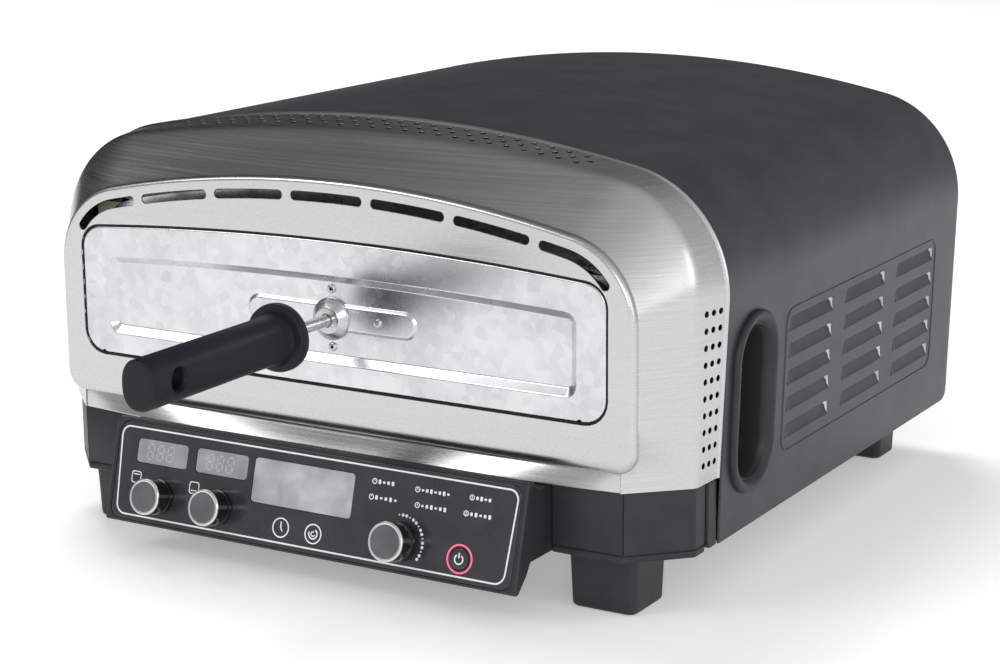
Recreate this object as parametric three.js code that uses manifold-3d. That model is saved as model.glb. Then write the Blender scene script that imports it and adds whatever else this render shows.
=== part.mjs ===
// Countertop pizza oven with a lift-off door, three knobs and a cooling fan.
//
// Millimetres, +Z up, +X to the right of someone facing the door, +Y into the
// depth. Every builder below measures y from the face of the front bezel and z
// from the counter; place() moves the finished mesh so the whole oven, handle
// included, is centred over the origin.

import * as THREE from 'three';
import { mergeVertices } from 'three/addons/utils/BufferGeometryUtils.js';
import ManifoldModule from 'manifold-3d';

const wasm = await ManifoldModule();
wasm.setup();
const { Manifold, Mesh: ManifoldMesh } = wasm;

// ---------------------------------------------------------------- dimensions

const HANDLE_END = -176; // y of the grip's free end
const INLET_BACK = 432; // y of the rearmost face, the power inlet flange
const CENTRE_Y = (HANDLE_END + INLET_BACK) / 2;
const GAP = 0.3; // clearance between neighbouring pieces

// Arched sections of the body: half width at the shoulder, half width at the
// foot, crown height, shoulder radius and crown radius.
const PLATEAU = { half: 202, foot: 202, crown: 237, shoulder: 51, arch: 758 };
const CREASE = { half: 223.6, foot: 223.6, crown: 261.4, shoulder: 67, arch: 1068 };
const FLANGE = { half: 229.5, foot: 224.6, crown: 266.4, shoulder: 70, arch: 860 };
const REAR = { half: 226, foot: 221.6, crown: 263.6, shoulder: 69, arch: 846 };

const BEZEL = { wall: 1.2, step: 5, creaseY: 34, backY: 60.8, bottom: 75.4 };
const PLATEAU_BOTTOM = 87;
const LIP = { half: 192.5, knee: 88, blend: 112, bow: 11 };
const CASING = { wall: 1, frontY: 61.3, backY: 430, bottom: 35.5 };

const DOOR = { half: 184.3, foot: 184.3, crown: 201, shoulder: 14, arch: 2068 };
const DOOR_BOTTOM = 114.4;
const DOOR_CORNER = 14;
const DOOR_GAP = 1.3;
const DOOR_DEPTH = { face: 0.3, wall: 1, pan: 3, skinBack: 20.3, liner: 20.6 };
const PAN = { half: 166, foot: 166, crown: 181, shoulder: 8, arch: 3000 };
const PAN_BOTTOM = 127.2;
const PAN_SLOPE = 5.5;

const HANDLE_Z = 154;
const GRIP = { halfX: 11, halfZ: 14.4, guard: 20, guardBack: -46, guardFront: -54, holeY: -153 };
const ROD = { radius: 3.5, front: -100, back: 29 };

const SLOT = { inset: 7.8, height: 5.6, gap: 6.2, count: 7, span: 392 };

const BASE = { bottom: 34, frontY: 5.5, sideX: 222.5, creaseY: 36, backY: 48, wall: 2.5 };
const HOUSING = { half: 146.5, wall: 2, backY: 58, top: 74.8, heel: [-21.6, 27.8], step: -17.5 };
const FOOT = { x0: 152, x1: 195.6, frontY: [14.2, 54.6], rearY: [374.5, 405.5], taper: 1.2 };

// The control panel is a leaning plane: u runs right, v runs down the face from
// the top line, h stands out of the face.
const PANEL = { y: -20, z: 76.3, sin: 0.267, cos: 0.9637 };
const FASCIA = { half: 143.2, top: -3.2, bottom: 57.2, thick: 2.5, corner: 7 };
const SCREENS = {
  display_upper_heat: { u: -108.9, v: 13.8, w: 38.7, h: 15.2 },
  display_lower_heat: { u: -63.8, v: 13.8, w: 38.7, h: 15.2 },
  display_program: { u: -4.1, v: 19.4, w: 72, h: 27.2 },
};
const KNOBS = {
  upper_heat: { u: -107.3, v: 40, radius: 11, base: 0.5, height: 14.8 },
  lower_heat: { u: -62.9, v: 40, radius: 11, base: 0.5, height: 14.8 },
  program: { u: 67.5, v: 40, radius: 11.6, base: 2, height: 14.6 },
};
const POWER = { u: 108.1, v: 43.7, radius: 6.2, travel: 1 };
const BOARD = { front: -7.7, thick: 1.3, half: 134, top: 5, bottom: 45.5 }; // behind the panel face

const CAVITY = { half: 171, floor: 89, roof: 208, frontY: 23.3, backY: 366, wall: 1 };
const FRAME = { half: 197, foot: 197, crown: 226, shoulder: 46, arch: 758 };
const FRAME_PLATE = { y0: 22, y1: 23, bottom: 79, openHalf: 170, openBottom: 117, openTop: 196 };
const STONE = { half: 162, y0: 26, y1: 350, z0: 103.5, z1: 115.5, corner: 10 };
const ELEMENT = { radius: 3.3, upperZ: 200, lowerZ: 96.5, endY: 392, wide: 138, inner: 70 };

const LOUVRE = { y: [149, 234.5, 320], length: 64, height: 5, z: [147.5, 131, 114.5, 98, 81.5] };
const HANDHOLD = { y: 99, z: 111, rimW: 57, rimH: 109, tubW: 40, tubH: 90, wall: 3, depth: 26 };
const FAN = { x: -100, z: 110, size: 80, bore: 37.5, y0: 402.5, y1: 427, hub: 12.5, blades: 5 };
const INLET = { x: 150, z: 64, w: 27, h: 20, flangeW: 46, flangeH: 26, front: 404 };

const FINISH = {
  steel: { color: 0xb9babb, roughness: 0.34, metalness: 1 },
  coated: { color: 0x3b3f44, roughness: 0.45, metalness: 0.6 },
  aluminised: { color: 0xc4c7ca, roughness: 0.3, metalness: 1 },
  darkSteel: { color: 0x55585b, roughness: 0.55, metalness: 0.9 },
  blackPlastic: { color: 0x26292c, roughness: 0.55, metalness: 0 },
  glossBlack: { color: 0x1b1d20, roughness: 0.15, metalness: 0 },
  screen: { color: 0x9aa09c, roughness: 0.2, metalness: 0 },
  board: { color: 0x1d5a35, roughness: 0.5, metalness: 0 },
  brass: { color: 0xb5934a, roughness: 0.35, metalness: 1 },
  stone: { color: 0xcdbb9a, roughness: 0.95, metalness: 0 },
  wool: { color: 0xd8d3b8, roughness: 1, metalness: 0 },
  heater: { color: 0x6c6a68, roughness: 0.5, metalness: 0.8 },
};

// ------------------------------------------------------------------- helpers

/** Indexed closed geometry from a vertex list and a triangle list. */
function solid(vertices, triangles) {
  const geometry = new THREE.BufferGeometry();
  geometry.setAttribute('position', new THREE.Float32BufferAttribute(vertices.flat(), 3));
  geometry.setIndex(triangles.flat());
  return geometry;
}

/** Closed solid through rings of equal point count, with flat end caps. */
function loft(rings) {
  const count = rings[0].length;
  const triangles = [];
  for (let r = 0; r + 1 < rings.length; r += 1) {
    for (let i = 0; i < count; i += 1) {
      const a = r * count + i;
      const b = r * count + ((i + 1) % count);
      triangles.push([a, b, b + count], [a, b + count, a + count]);
    }
  }
  const capped = (ring, offset, flip) => {
    const flat = flatten(ring);
    for (const [a, b, c] of THREE.ShapeUtils.triangulateShape(flat, [])) {
      triangles.push(flip ? [offset + a, offset + c, offset + b] : [offset + a, offset + b, offset + c]);
    }
  };
  capped(rings[0], 0, true);
  capped(rings[rings.length - 1], (rings.length - 1) * count, false);
  return outward(solid(rings.flat(), triangles));
}

/** Ring points in the plane they lie in, so a cap can be triangulated. */
function flatten(ring) {
  const points = ring.map((p) => new THREE.Vector3(...p));
  const normal = new THREE.Vector3();
  points.forEach((p, i) => {
    const q = points[(i + 1) % points.length];
    normal.x += (p.y - q.y) * (p.z + q.z);
    normal.y += (p.z - q.z) * (p.x + q.x);
    normal.z += (p.x - q.x) * (p.y + q.y);
  });
  const turn = new THREE.Quaternion().setFromUnitVectors(normal.normalize(), new THREE.Vector3(0, 0, 1));
  return points.map((p) => {
    const flat = p.applyQuaternion(turn);
    return new THREE.Vector2(flat.x, flat.y);
  });
}

/** Turns a closed geometry inside out when its volume comes out negative. */
function outward(geometry) {
  const p = geometry.attributes.position;
  const index = geometry.index.array;
  let volume = 0;
  const [a, b, c] = [new THREE.Vector3(), new THREE.Vector3(), new THREE.Vector3()];
  for (let i = 0; i < index.length; i += 3) {
    a.fromBufferAttribute(p, index[i]);
    b.fromBufferAttribute(p, index[i + 1]);
    c.fromBufferAttribute(p, index[i + 2]);
    volume += a.dot(b.cross(c));
  }
  if (volume < 0) {
    for (let i = 0; i < index.length; i += 3) {
      [index[i + 1], index[i + 2]] = [index[i + 2], index[i + 1]];
    }
  }
  return geometry;
}

/** Extrudes an outline with holes; map() turns (s, t, depth) into x, y, z. */
function extrude(outline, holes, depth, map) {
  const rim = outline.map(([s, t]) => new THREE.Vector2(s, t));
  const shape = new THREE.Shape(THREE.ShapeUtils.area(rim) > 0 ? rim : rim.reverse());
  for (const hole of holes) {
    shape.holes.push(new THREE.Path(hole.map(([s, t]) => new THREE.Vector2(s, t))));
  }
  const geometry = new THREE.ExtrudeGeometry(shape, { depth, bevelEnabled: false, steps: 1 });
  geometry.deleteAttribute('normal');
  geometry.deleteAttribute('uv');
  const p = geometry.attributes.position;
  for (let i = 0; i < p.count; i += 1) p.setXYZ(i, ...map(p.getX(i), p.getY(i), p.getZ(i)));
  return outward(mergeVertices(geometry, 1e-5));
}

const prismY = (outline, holes, y0, y1) => extrude(outline, holes, y1 - y0, (s, t, d) => [s, y1 - d, t]);
const prismX = (outline, holes, x0, x1) => extrude(outline, holes, x1 - x0, (s, t, d) => [x0 + d, s, t]);
const prismZ = (outline, holes, z0, z1) => extrude(outline, holes, z1 - z0, (s, t, d) => [s, t, z0 + d]);

/** Prism standing on the panel face: outline in (u, v), between heights h0 and h1. */
const prismPanel = (outline, holes, h0, h1) =>
  extrude(outline, holes, h1 - h0, (u, v, d) => onPanel(u, v, h0 + d));

function onPanel(u, v, h) {
  return [u, PANEL.y - PANEL.sin * v - PANEL.cos * h, PANEL.z - PANEL.cos * v + PANEL.sin * h];
}

function box(x0, x1, y0, y1, z0, z1) {
  return prismZ(rectangle(x0, x1, y0, y1), [], z0, z1);
}

const rectangle = (s0, s1, t0, t1) => [[s0, t0], [s1, t0], [s1, t1], [s0, t1]];

function circle(cs, ct, radius, sides) {
  return Array.from({ length: sides }, (_, i) => {
    const angle = ((i + 0.5) / sides) * Math.PI * 2;
    return [cs + radius * Math.cos(angle), ct + radius * Math.sin(angle)];
  });
}

/** Points on an arc, both ends included; angles in degrees from +s. */
function arc(cs, ct, radius, from, to, steps) {
  return Array.from({ length: steps + 1 }, (_, i) => {
    const angle = THREE.MathUtils.degToRad(from + ((to - from) * i) / steps);
    return [cs + radius * Math.cos(angle), ct + radius * Math.sin(angle)];
  });
}

function roundedRectangle(cs, ct, width, height, radius, steps = 3) {
  const s = width / 2 - radius;
  const t = height / 2 - radius;
  return [
    ...arc(cs + s, ct + t, radius, 0, 90, steps),
    ...arc(cs - s, ct + t, radius, 90, 180, steps),
    ...arc(cs - s, ct - t, radius, 180, 270, steps),
    ...arc(cs + s, ct - t, radius, 270, 360, steps),
  ];
}

function toManifold(geometry) {
  return new Manifold(new ManifoldMesh({
    numProp: 3,
    vertProperties: Float32Array.from(geometry.attributes.position.array),
    triVerts: Uint32Array.from(geometry.index.array),
  }));
}

function fromManifold(body) {
  const mesh = body.getMesh();
  const geometry = new THREE.BufferGeometry();
  geometry.setAttribute('position', new THREE.Float32BufferAttribute(Array.from(mesh.vertProperties), 3));
  geometry.setIndex(Array.from(mesh.triVerts));
  return geometry;
}

const union = (...parts) => fromManifold(Manifold.union(parts.map(toManifold)));

function subtract(base, ...tools) {
  return fromManifold(toManifold(base).subtract(Manifold.union(tools.map(toManifold))));
}

/** The section between two sections, and a section drawn in by an inset. */
function blendSection(a, b, t) {
  return Object.fromEntries(Object.keys(a).map((key) => [key, a[key] + (b[key] - a[key]) * t]));
}

const inset = (c, d) => ({
  half: c.half - d,
  foot: c.foot - d,
  crown: c.crown - d,
  shoulder: c.shoulder - d,
  arch: c.arch - d,
});

/** Right half of an arched section, from the foot to the crown, as [x, z]. */
function halfArch(c, footZ, sideZ, steps = { shoulder: 7, crown: 6 }) {
  const cornerX = c.half - c.shoulder;
  const crownZ = c.crown - c.arch;
  const cornerZ = crownZ + Math.sqrt((c.arch - c.shoulder) ** 2 - cornerX ** 2);
  const lean = THREE.MathUtils.radToDeg(Math.atan2(cornerX, cornerZ - crownZ));
  const side = (z) => {
    if (c.knee && z <= c.knee) return c.foot;
    const from = c.knee ?? footZ;
    const to = c.blend ?? cornerZ;
    return c.foot + (c.half - c.foot) * Math.min(1, (z - from) / (to - from));
  };
  const top = arc(0, crownZ, c.arch, 90 - lean, 90, steps.crown).slice(1);
  return [
    [side(footZ), footZ],
    ...sideZ.map((z) => [side(z), z]),
    ...arc(cornerX, cornerZ, c.shoulder, 0, 90 - lean, steps.shoulder),
    ...top,
  ];
}

/** Whole arched section, left foot over the crown to the right foot. */
function wholeArch(c, footZ, sideZ = [], steps = undefined) {
  const right = halfArch(c, footZ, sideZ, steps);
  const left = right.slice(0, -1).map(([x, z]) => [-x, z]);
  return [...left, ...right.reverse()];
}

/** Arched outline closed along the bottom with rounded lower corners. */
function closedArch(c, bottom, corner, steps = { shoulder: 5, crown: 4, corner: 4 }) {
  const upper = wholeArch(c, bottom + corner, [], steps);
  const right = arc(c.foot - corner, bottom + corner, corner, 0, -90, steps.corner).slice(1);
  const left = right.map(([x, z]) => [-x, z]).reverse();
  return [...upper, ...right, ...left];
}

/** Bent sheet through arched stations {y, section}, open along the bottom. */
function archSheet(stations, wall, footZ, sideZ = []) {
  const outer = stations.map((s) => wholeArch(s.section, footZ, sideZ).map(([x, z]) => [x, s.y, z]));
  const inner = stations.map((s) => {
    const section = { ...s.section, ...inset(s.section, wall) };
    return wholeArch(section, footZ, sideZ).map(([x, z]) => [x, s.y, z]);
  });
  const rings = outer[0].map((_, i) => [...outer.map((o) => o[i]), ...inner.map((n) => n[i]).reverse()]);
  return loft(rings);
}

/** Round bar through a path of points, with mitred joints. */
function tube(path, radius, sides) {
  const points = path.map((p) => new THREE.Vector3(...p));
  const up = new THREE.Vector3(0, 0, 1);
  const rings = points.map((p, i) => {
    const before = i > 0 ? p.clone().sub(points[i - 1]).normalize() : null;
    const after = i + 1 < points.length ? points[i + 1].clone().sub(p).normalize() : null;
    const along = (before ?? after).clone().add(after ?? before).normalize();
    const stretch = before && after ? 1 / Math.sqrt((1 + before.dot(after)) / 2) : 1;
    const side = new THREE.Vector3().crossVectors(along, up).multiplyScalar(stretch);
    return Array.from({ length: sides }, (_, k) => {
      const angle = (k / sides) * Math.PI * 2;
      const q = p.clone().addScaledVector(side, radius * Math.cos(angle));
      q.addScaledVector(up, radius * Math.sin(angle));
      return q.toArray();
    });
  });
  return loft(rings);
}

/** Corners of a plan path rounded with a bend radius, all at one height. */
function rounded(corners, z, bend, steps = 3) {
  const path = [[...corners[0], z]];
  for (let i = 1; i + 1 < corners.length; i += 1) {
    const [p, q, r] = [corners[i - 1], corners[i], corners[i + 1]].map((c) => new THREE.Vector2(...c));
    const back = p.clone().sub(q).normalize().multiplyScalar(bend).add(q);
    const ahead = r.clone().sub(q).normalize().multiplyScalar(bend).add(q);
    const curve = new THREE.QuadraticBezierCurve(back, q, ahead);
    for (const point of curve.getPoints(steps)) path.push([point.x, point.y, z]);
  }
  path.push([...corners[corners.length - 1], z]);
  return path;
}

/** Solid of revolution about the y direction through (x, z), profile [[y, r], ...]. */
function turned(profile, x, z, sides) {
  return loft(profile.map(([y, r]) => circle(x, z, r, sides).map(([px, pz]) => [px, y, pz])));
}

/** Solid of revolution about the panel normal, profile [[h, r], ...]. */
function turnedOnPanel(profile, u, v, sides) {
  return loft(profile.map(([h, r]) => circle(u, v, r, sides).map(([pu, pv]) => onPanel(pu, pv, h))));
}

const group = new THREE.Group();
group.name = 'countertop_pizza_oven';

/** Moves a finished geometry into the oven's frame and adds it as one named mesh. */
function place(name, geometry, finish) {
  geometry.translate(0, -CENTRE_Y, 0);
  geometry.computeVertexNormals();
  const mesh = new THREE.Mesh(geometry, new THREE.MeshStandardMaterial({ ...FINISH[finish] }));
  mesh.name = name;
  mesh.material.name = finish;
  group.add(mesh);
}

/** Adds a piece and its mirror image, named _right and _left. */
function placePair(name, geometry, finish) {
  const mirror = geometry.clone().scale(-1, 1, 1);
  place(`${name}_right`, geometry, finish);
  place(`${name}_left`, outward(mirror), finish);
}

// ---------------------------------------------------------------- outer body

/** Section of the casing at a depth, drawn in by an inset. */
function casingSection(y, drawn = 0) {
  const t = (y - CASING.frontY) / (CASING.backY - CASING.frontY);
  return inset(blendSection(FLANGE, REAR, t), drawn);
}

function outerCasing() {
  const stations = [CASING.frontY, CASING.backY].map((y) => ({ y, section: casingSection(y) }));
  const sheet = archSheet(stations, CASING.wall, CASING.bottom);
  const cuts = [];
  const across = 260;
  for (const y of LOUVRE.y) {
    for (const z of LOUVRE.z) {
      const [low, high] = [z - LOUVRE.height / 2, z + LOUVRE.height / 2];
      cuts.push(box(-across, across, y, y + LOUVRE.length, low, high));
    }
  }
  const { y: gripY, z: gripZ, tubW, tubH } = HANDHOLD;
  const handhold = roundedRectangle(gripY, gripZ, tubW + 1.6, tubH + 1.6, tubW / 2, 5);
  cuts.push(prismX(handhold, [], -across, across));
  return subtract(sheet, ...cuts);
}

/** Vent slots follow the rim of the plateau, spaced along its length. */
function ventSlots() {
  const middle = inset(PLATEAU, SLOT.inset);
  const fine = { shoulder: 40, crown: 80 };
  const line = wholeArch(middle, 130, [], fine);
  const lengths = [0];
  for (let i = 1; i < line.length; i += 1) {
    lengths.push(lengths[i - 1] + Math.hypot(line[i][0] - line[i - 1][0], line[i][1] - line[i - 1][1]));
  }
  const centre = lengths[lengths.length - 1] / 2;
  const at = (s) => {
    const i = Math.max(1, lengths.findIndex((l) => l >= s));
    const t = (s - lengths[i - 1]) / (lengths[i] - lengths[i - 1]);
    const point = line[i - 1].map((v, k) => v + (line[i][k] - v) * t);
    const along = [line[i][0] - line[i - 1][0], line[i][1] - line[i - 1][1]];
    const size = Math.hypot(...along);
    return { point, normal: [-along[1] / size, along[0] / size] };
  };
  const pitch = SLOT.span / SLOT.count;
  const half = (pitch - SLOT.gap) / 2;
  return Array.from({ length: SLOT.count }, (_, n) => {
    const s = centre + (n - (SLOT.count - 1) / 2) * pitch;
    const side = (sign, order) => order.map((k) => {
      const { point, normal } = at(s + k * (half - SLOT.height / 2));
      return point.map((value, axis) => value + sign * normal[axis] * (SLOT.height / 2));
    });
    const tip = (k) => at(s + k * half).point;
    const steps = [-1, -0.5, 0, 0.5, 1];
    return [...side(1, steps), tip(1), ...side(-1, [...steps].reverse()), tip(-1)];
  });
}

function frontBezel() {
  const steps = { shoulder: 9, crown: 8, corner: 4 };
  const outline = closedArch(PLATEAU, PLATEAU_BOTTOM, 12, steps);
  const inner = closedArch(inset(PLATEAU, BEZEL.wall), PLATEAU_BOTTOM + BEZEL.wall, 12 - BEZEL.wall, steps);
  const opening = closedArch(inset(DOOR, -DOOR_GAP), DOOR_BOTTOM - DOOR_GAP, DOOR_CORNER + DOOR_GAP);
  const face = prismY(outline, [opening, ...ventSlots()], 0, BEZEL.wall);
  const wall = prismY(outline, [inner], BEZEL.wall / 2, BEZEL.step + BEZEL.wall);

  const front = { ...PLATEAU, foot: LIP.half, knee: LIP.knee, blend: LIP.blend };
  const stations = [
    { y: BEZEL.step, section: front },
    { y: BEZEL.creaseY, section: CREASE },
    { y: BEZEL.backY, section: FLANGE },
  ];
  const ring = archSheet(stations, BEZEL.wall, BEZEL.bottom, [LIP.knee, LIP.blend]);
  return union(face, wall, ring, bezelLip());
}

/** The lip under the plateau, bowed forward over the control housing. */
function bezelLip() {
  const stations = 12;
  const rings = Array.from({ length: stations + 1 }, (_, i) => {
    const x = LIP.half * ((2 * i) / stations - 1);
    const bow = LIP.bow * (1 - (x / LIP.half) ** 2);
    const top = [x, BEZEL.step, PLATEAU_BOTTOM + BEZEL.wall];
    const low = [x, BEZEL.step - bow, BEZEL.bottom];
    return [top, low, [x, low[1] + BEZEL.wall, low[2]], [x, top[1] + BEZEL.wall, top[2]]];
  });
  return loft(rings);
}

function rearPanel() {
  const y1 = 428.7;
  const steps = { shoulder: 7, crown: 6, corner: 1 };
  const outline = closedArch(casingSection(y1, CASING.wall + 0.5), CASING.bottom + 2.6, 2, steps);
  const grille = [];
  for (let k = -3; k <= 3; k += 1) {
    const reach = Math.sqrt(33 ** 2 - (k * 9) ** 2);
    grille.push(rectangle(FAN.x + k * 9 - 2.5, FAN.x + k * 9 + 2.5, FAN.z - reach, FAN.z + reach));
  }
  const vents = [0, 1, 2, 3].map((k) => rectangle(40, 140, 130 + k * 16, 135 + k * 16));
  const [reachX, reachZ] = [INLET.w / 2 + 0.6, INLET.h / 2 + 0.6];
  const socket = rectangle(INLET.x - reachX, INLET.x + reachX, INLET.z - reachZ, INLET.z + reachZ);
  return prismY(outline, [...grille, ...vents, socket], y1 - 1.2, y1);
}

function bottomPlate() {
  const half = (y) => casingSection(y, CASING.wall + 0.6).foot;
  const [y0, y1] = [62.5, 427];
  const outline = [[-half(y0), y0], [half(y0), y0], [half(y1), y1], [-half(y1), y1]];
  const vents = [-120, -60, 0, 60, 120].map((x) => box(x - 3, x + 3, 150, 230, 30, 40));
  return subtract(prismZ(outline, [], 36.5, 37.5), ...vents);
}

/** Moulded front corner: floor and outer wall, under one end of the bezel. */
function cornerBase() {
  const innerX = HOUSING.half + GAP;
  const w = BASE.wall;
  const { frontY, creaseY, backY, sideX } = BASE;
  const outer = [[innerX, frontY], [LIP.half, frontY], [sideX, creaseY], [sideX, backY]];
  const plan = [...outer, [innerX, backY]];
  const inner = [
    [sideX - w, backY], [sideX - w, creaseY + 1], [LIP.half - 1.2, frontY + w], [innerX, frontY + w],
  ];
  const wall = [...outer, ...inner];
  const top = BEZEL.bottom - GAP;
  return union(prismZ(plan, [], BASE.bottom, BASE.bottom + w), prismZ(wall, [], BASE.bottom, top));
}

/** Dark strip closing the joint between corner base and casing. */
function trimStrip() {
  const [y0, y1] = [BASE.backY + GAP, CASING.frontY - GAP];
  const profile = [[y0 + 3, 34.6], [y1, 34.6], [y1, BEZEL.bottom - GAP], [y0, BEZEL.bottom - GAP], [y0, 38]];
  return prismX(profile, [], BASE.sideX - 5, BASE.sideX + 1.2);
}

function foot([y0, y1], top) {
  const level = (z, t) => rectangle(FOOT.x0 + t, FOOT.x1 - t, y0 + t, y1 - t).map(([x, y]) => [x, y, z]);
  return loft([level(0, FOOT.taper), level(top, 0)]);
}

/** Oval hand recess: a rim outside the casing and a tub through it. */
function sideGrip() {
  const { y, z, rimW, rimH, tubW, tubH, wall, depth } = HANDHOLD;
  const stadium = (w, h) => roundedRectangle(y, z, w, h, w / 2, 5);
  const side = 227.4;
  const rim = prismX(stadium(rimW, rimH), [], side + 0.5, side + 3.6);
  const tub = prismX(stadium(tubW, tubH), [], side - depth, side + 1);
  const hollow = prismX(stadium(tubW - 2 * wall, tubH - 2 * wall), [], side - depth + wall, side + 10);
  const grip = subtract(union(rim, tub), hollow);
  const lean = Math.atan2(FLANGE.half - FLANGE.foot, 161);
  grip.translate(-side, 0, -z).rotateY(lean).translate(side, 0, z);
  return grip;
}

// ------------------------------------------------------------------ controls

/** Shell behind the panel: leaning front, stepped underside, open at the back. */
function controlHousing() {
  const side = (v, h) => onPanel(0, v, h).slice(1);
  const upper = side(FASCIA.top - 1.2, 0);
  const lower = side(FASCIA.bottom + 1.4, 0);
  const { half, wall, backY, top, heel, step } = HOUSING;
  const outline = [
    upper, lower, [lower[0] + 4, lower[1] - 1.6], heel, [step, BASE.bottom],
    [backY, BASE.bottom], [backY, top], [-8, top], [-13, upper[1]],
  ];
  const floor = BASE.bottom + wall;
  const hollow = [
    [-16.5, top - wall], side(52.5, -4.3), [-28.5, 24.3], [heel[0] - 1.4, heel[1] + 1.6], [step - 1.7, floor],
    [backY + 5, floor], [backY + 5, top - wall],
  ];
  return subtract(
    prismX(outline, [], -half, half),
    prismX(hollow, [], -half + wall, half - wall),
    prismPanel(fasciaOutline(GAP), [], -FASCIA.thick - GAP, 2),
    prismPanel(rectangle(-136, 136, 3, 50.6), [], -6, 0),
  );
}

function fasciaOutline(grow) {
  const { half, top, bottom, corner } = FASCIA;
  const width = 2 * (half + grow) - 0.8;
  return roundedRectangle(0, (top + bottom) / 2, width, bottom - top + 2 * grow - 0.8, corner, 3);
}

function controlFascia() {
  const windows = Object.values(SCREENS).map((s) => roundedRectangle(s.u, s.v, s.w, s.h, 2.5, 2));
  const bores = Object.values(KNOBS).map((k) => circle(k.u, k.v, 3.8, 12));
  bores.push(circle(POWER.u, POWER.v, POWER.radius + 0.35, 20));
  return prismPanel(fasciaOutline(0), [...windows, ...bores], -FASCIA.thick, 0);
}

function screen({ u, v, w, h }) {
  return prismPanel(roundedRectangle(u, v, w - 2 * GAP, h - 2 * GAP, 2.3, 2), [], -FASCIA.thick - 1.6, -0.25);
}

/** Knob cap with a blind bore for its shaft. */
function knobCap({ u, v, radius, base, height }) {
  const top = base + height;
  const profile = [[base, radius - 0.4], [base + 1, radius], [top - 1, radius], [top, radius - 0.9]];
  const cap = turnedOnPanel(profile, u, v, 28);
  return subtract(cap, turnedOnPanel([[base - 1, 3.3], [top - 5.5, 3.3]], u, v, 12));
}

function knobShaft({ u, v, base, height }) {
  return turnedOnPanel([[-3.4, 3], [base + height - 6, 3]], u, v, 12);
}

/** Rotary encoder body standing on the control board. */
function encoder({ u, v }, half, top) {
  return prismPanel(rectangle(u - half, u + half, v - half, v + half), [], BOARD.front + GAP, top);
}

function powerButton() {
  const profile = [[-3, POWER.radius], [0.5, POWER.radius], [1.1, POWER.radius - 0.7]];
  return turnedOnPanel(profile, POWER.u, POWER.v, 24);
}

function controlBoard() {
  const { half, top, bottom, front, thick } = BOARD;
  return prismPanel(rectangle(-half, half, top, bottom), [], front - thick, front);
}

function powerBoard() {
  const blocks = [
    box(-70, 80, 250, 350, 50, 51.6),
    box(-60, -30, 262, 288, 51, 75),
    box(-15, 4, 262, 278, 51, 67),
    box(12, 31, 262, 278, 51, 67),
    box(-58, -20, 310, 318, 51, 68),
    box(40, 68, 306, 340, 51, 64),
  ];
  for (const [x, y] of [[-65, 255], [75, 255], [-65, 345], [75, 345]]) {
    blocks.push(box(x - 3, x + 3, y - 3, y + 3, 37.8, 50.5));
  }
  return union(...blocks);
}

// -------------------------------------------------------------------- cavity

function cavityFrontFrame() {
  const outline = closedArch(FRAME, FRAME_PLATE.bottom, 6);
  const { openHalf, openBottom, openTop } = FRAME_PLATE;
  const mid = (openBottom + openTop) / 2;
  const opening = roundedRectangle(0, mid, 2 * openHalf, openTop - openBottom, 8, 3);
  return prismY(outline, [opening], FRAME_PLATE.y0, FRAME_PLATE.y1);
}

function cavityWalls() {
  const { half, floor, roof, frontY, backY, wall } = CAVITY;
  place('cavity_roof', box(-half - wall, half + wall, frontY, backY, roof, roof + wall), 'aluminised');
  place('cavity_floor', box(-half - wall, half + wall, frontY, backY, floor - wall, floor), 'aluminised');
  placePair('cavity_side', box(half, half + wall, frontY, backY, floor + GAP, roof - GAP), 'aluminised');

  const holes = [ELEMENT.upperZ, ELEMENT.lowerZ].flatMap((z) => [-20, 20].map((x) => circle(x, z, 4.4, 8)));
  holes.push(circle(95, 160, 2.8, 8), circle(100, 100.8, 2.2, 8));
  const outline = rectangle(-half - wall, half + wall, floor - wall, roof + wall);
  place('cavity_back', prismY(outline, holes, backY + GAP, backY + GAP + wall), 'aluminised');
}

/** Sheathed heating element: a double loop with both ends at the back. */
function heatingElement(z) {
  const { wide, inner, endY, radius } = ELEMENT;
  const right = [[20, endY], [20, 332], [wide, 332], [wide, 62], [inner, 62], [inner, 262]];
  const left = right.map(([x, y]) => [-x, y]).reverse();
  return tube(rounded([...right, ...left], z, 14), radius, 6);
}

function pizzaStone() {
  const { half, y0, y1, z0, z1, corner } = STONE;
  return prismZ(roundedRectangle(0, (y0 + y1) / 2, 2 * half, y1 - y0, corner, 3), [], z0, z1);
}

/** Angle rail that carries one side of the stone. */
function stoneRail() {
  const x = CAVITY.half - GAP;
  const z = STONE.z0 - GAP;
  const [thick, flange, drop] = [1.2, 16, 10];
  const under = [[x - flange, z - thick], [x - thick, z - thick], [x - thick, z - drop]];
  return prismY([...under, [x, z - drop], [x, z], [x - flange, z]], [], 40, 350);
}

function insulation() {
  const { half, wall, floor, roof, frontY, backY } = CAVITY;
  const front = frontY + 0.7;
  place('insulation_top', box(-160, 160, front, backY, roof + wall + GAP, roof + 21), 'wool');
  const side = box(half + wall + GAP, half + 20, front, backY, floor + 3, roof - 3);
  placePair('insulation_side', side, 'wool');
}

function probe(x, z, y0, radius) {
  return turned([[y0, radius * 0.6], [y0 + 2, radius], [382, radius]], x, z, 8);
}

function thermalCutout() {
  return turned([[CAVITY.backY + 1.7, 9], [374, 9], [374.1, 6], [380, 6]], 60, 160, 14);
}

// ---------------------------------------------------------------- rear pieces

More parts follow.
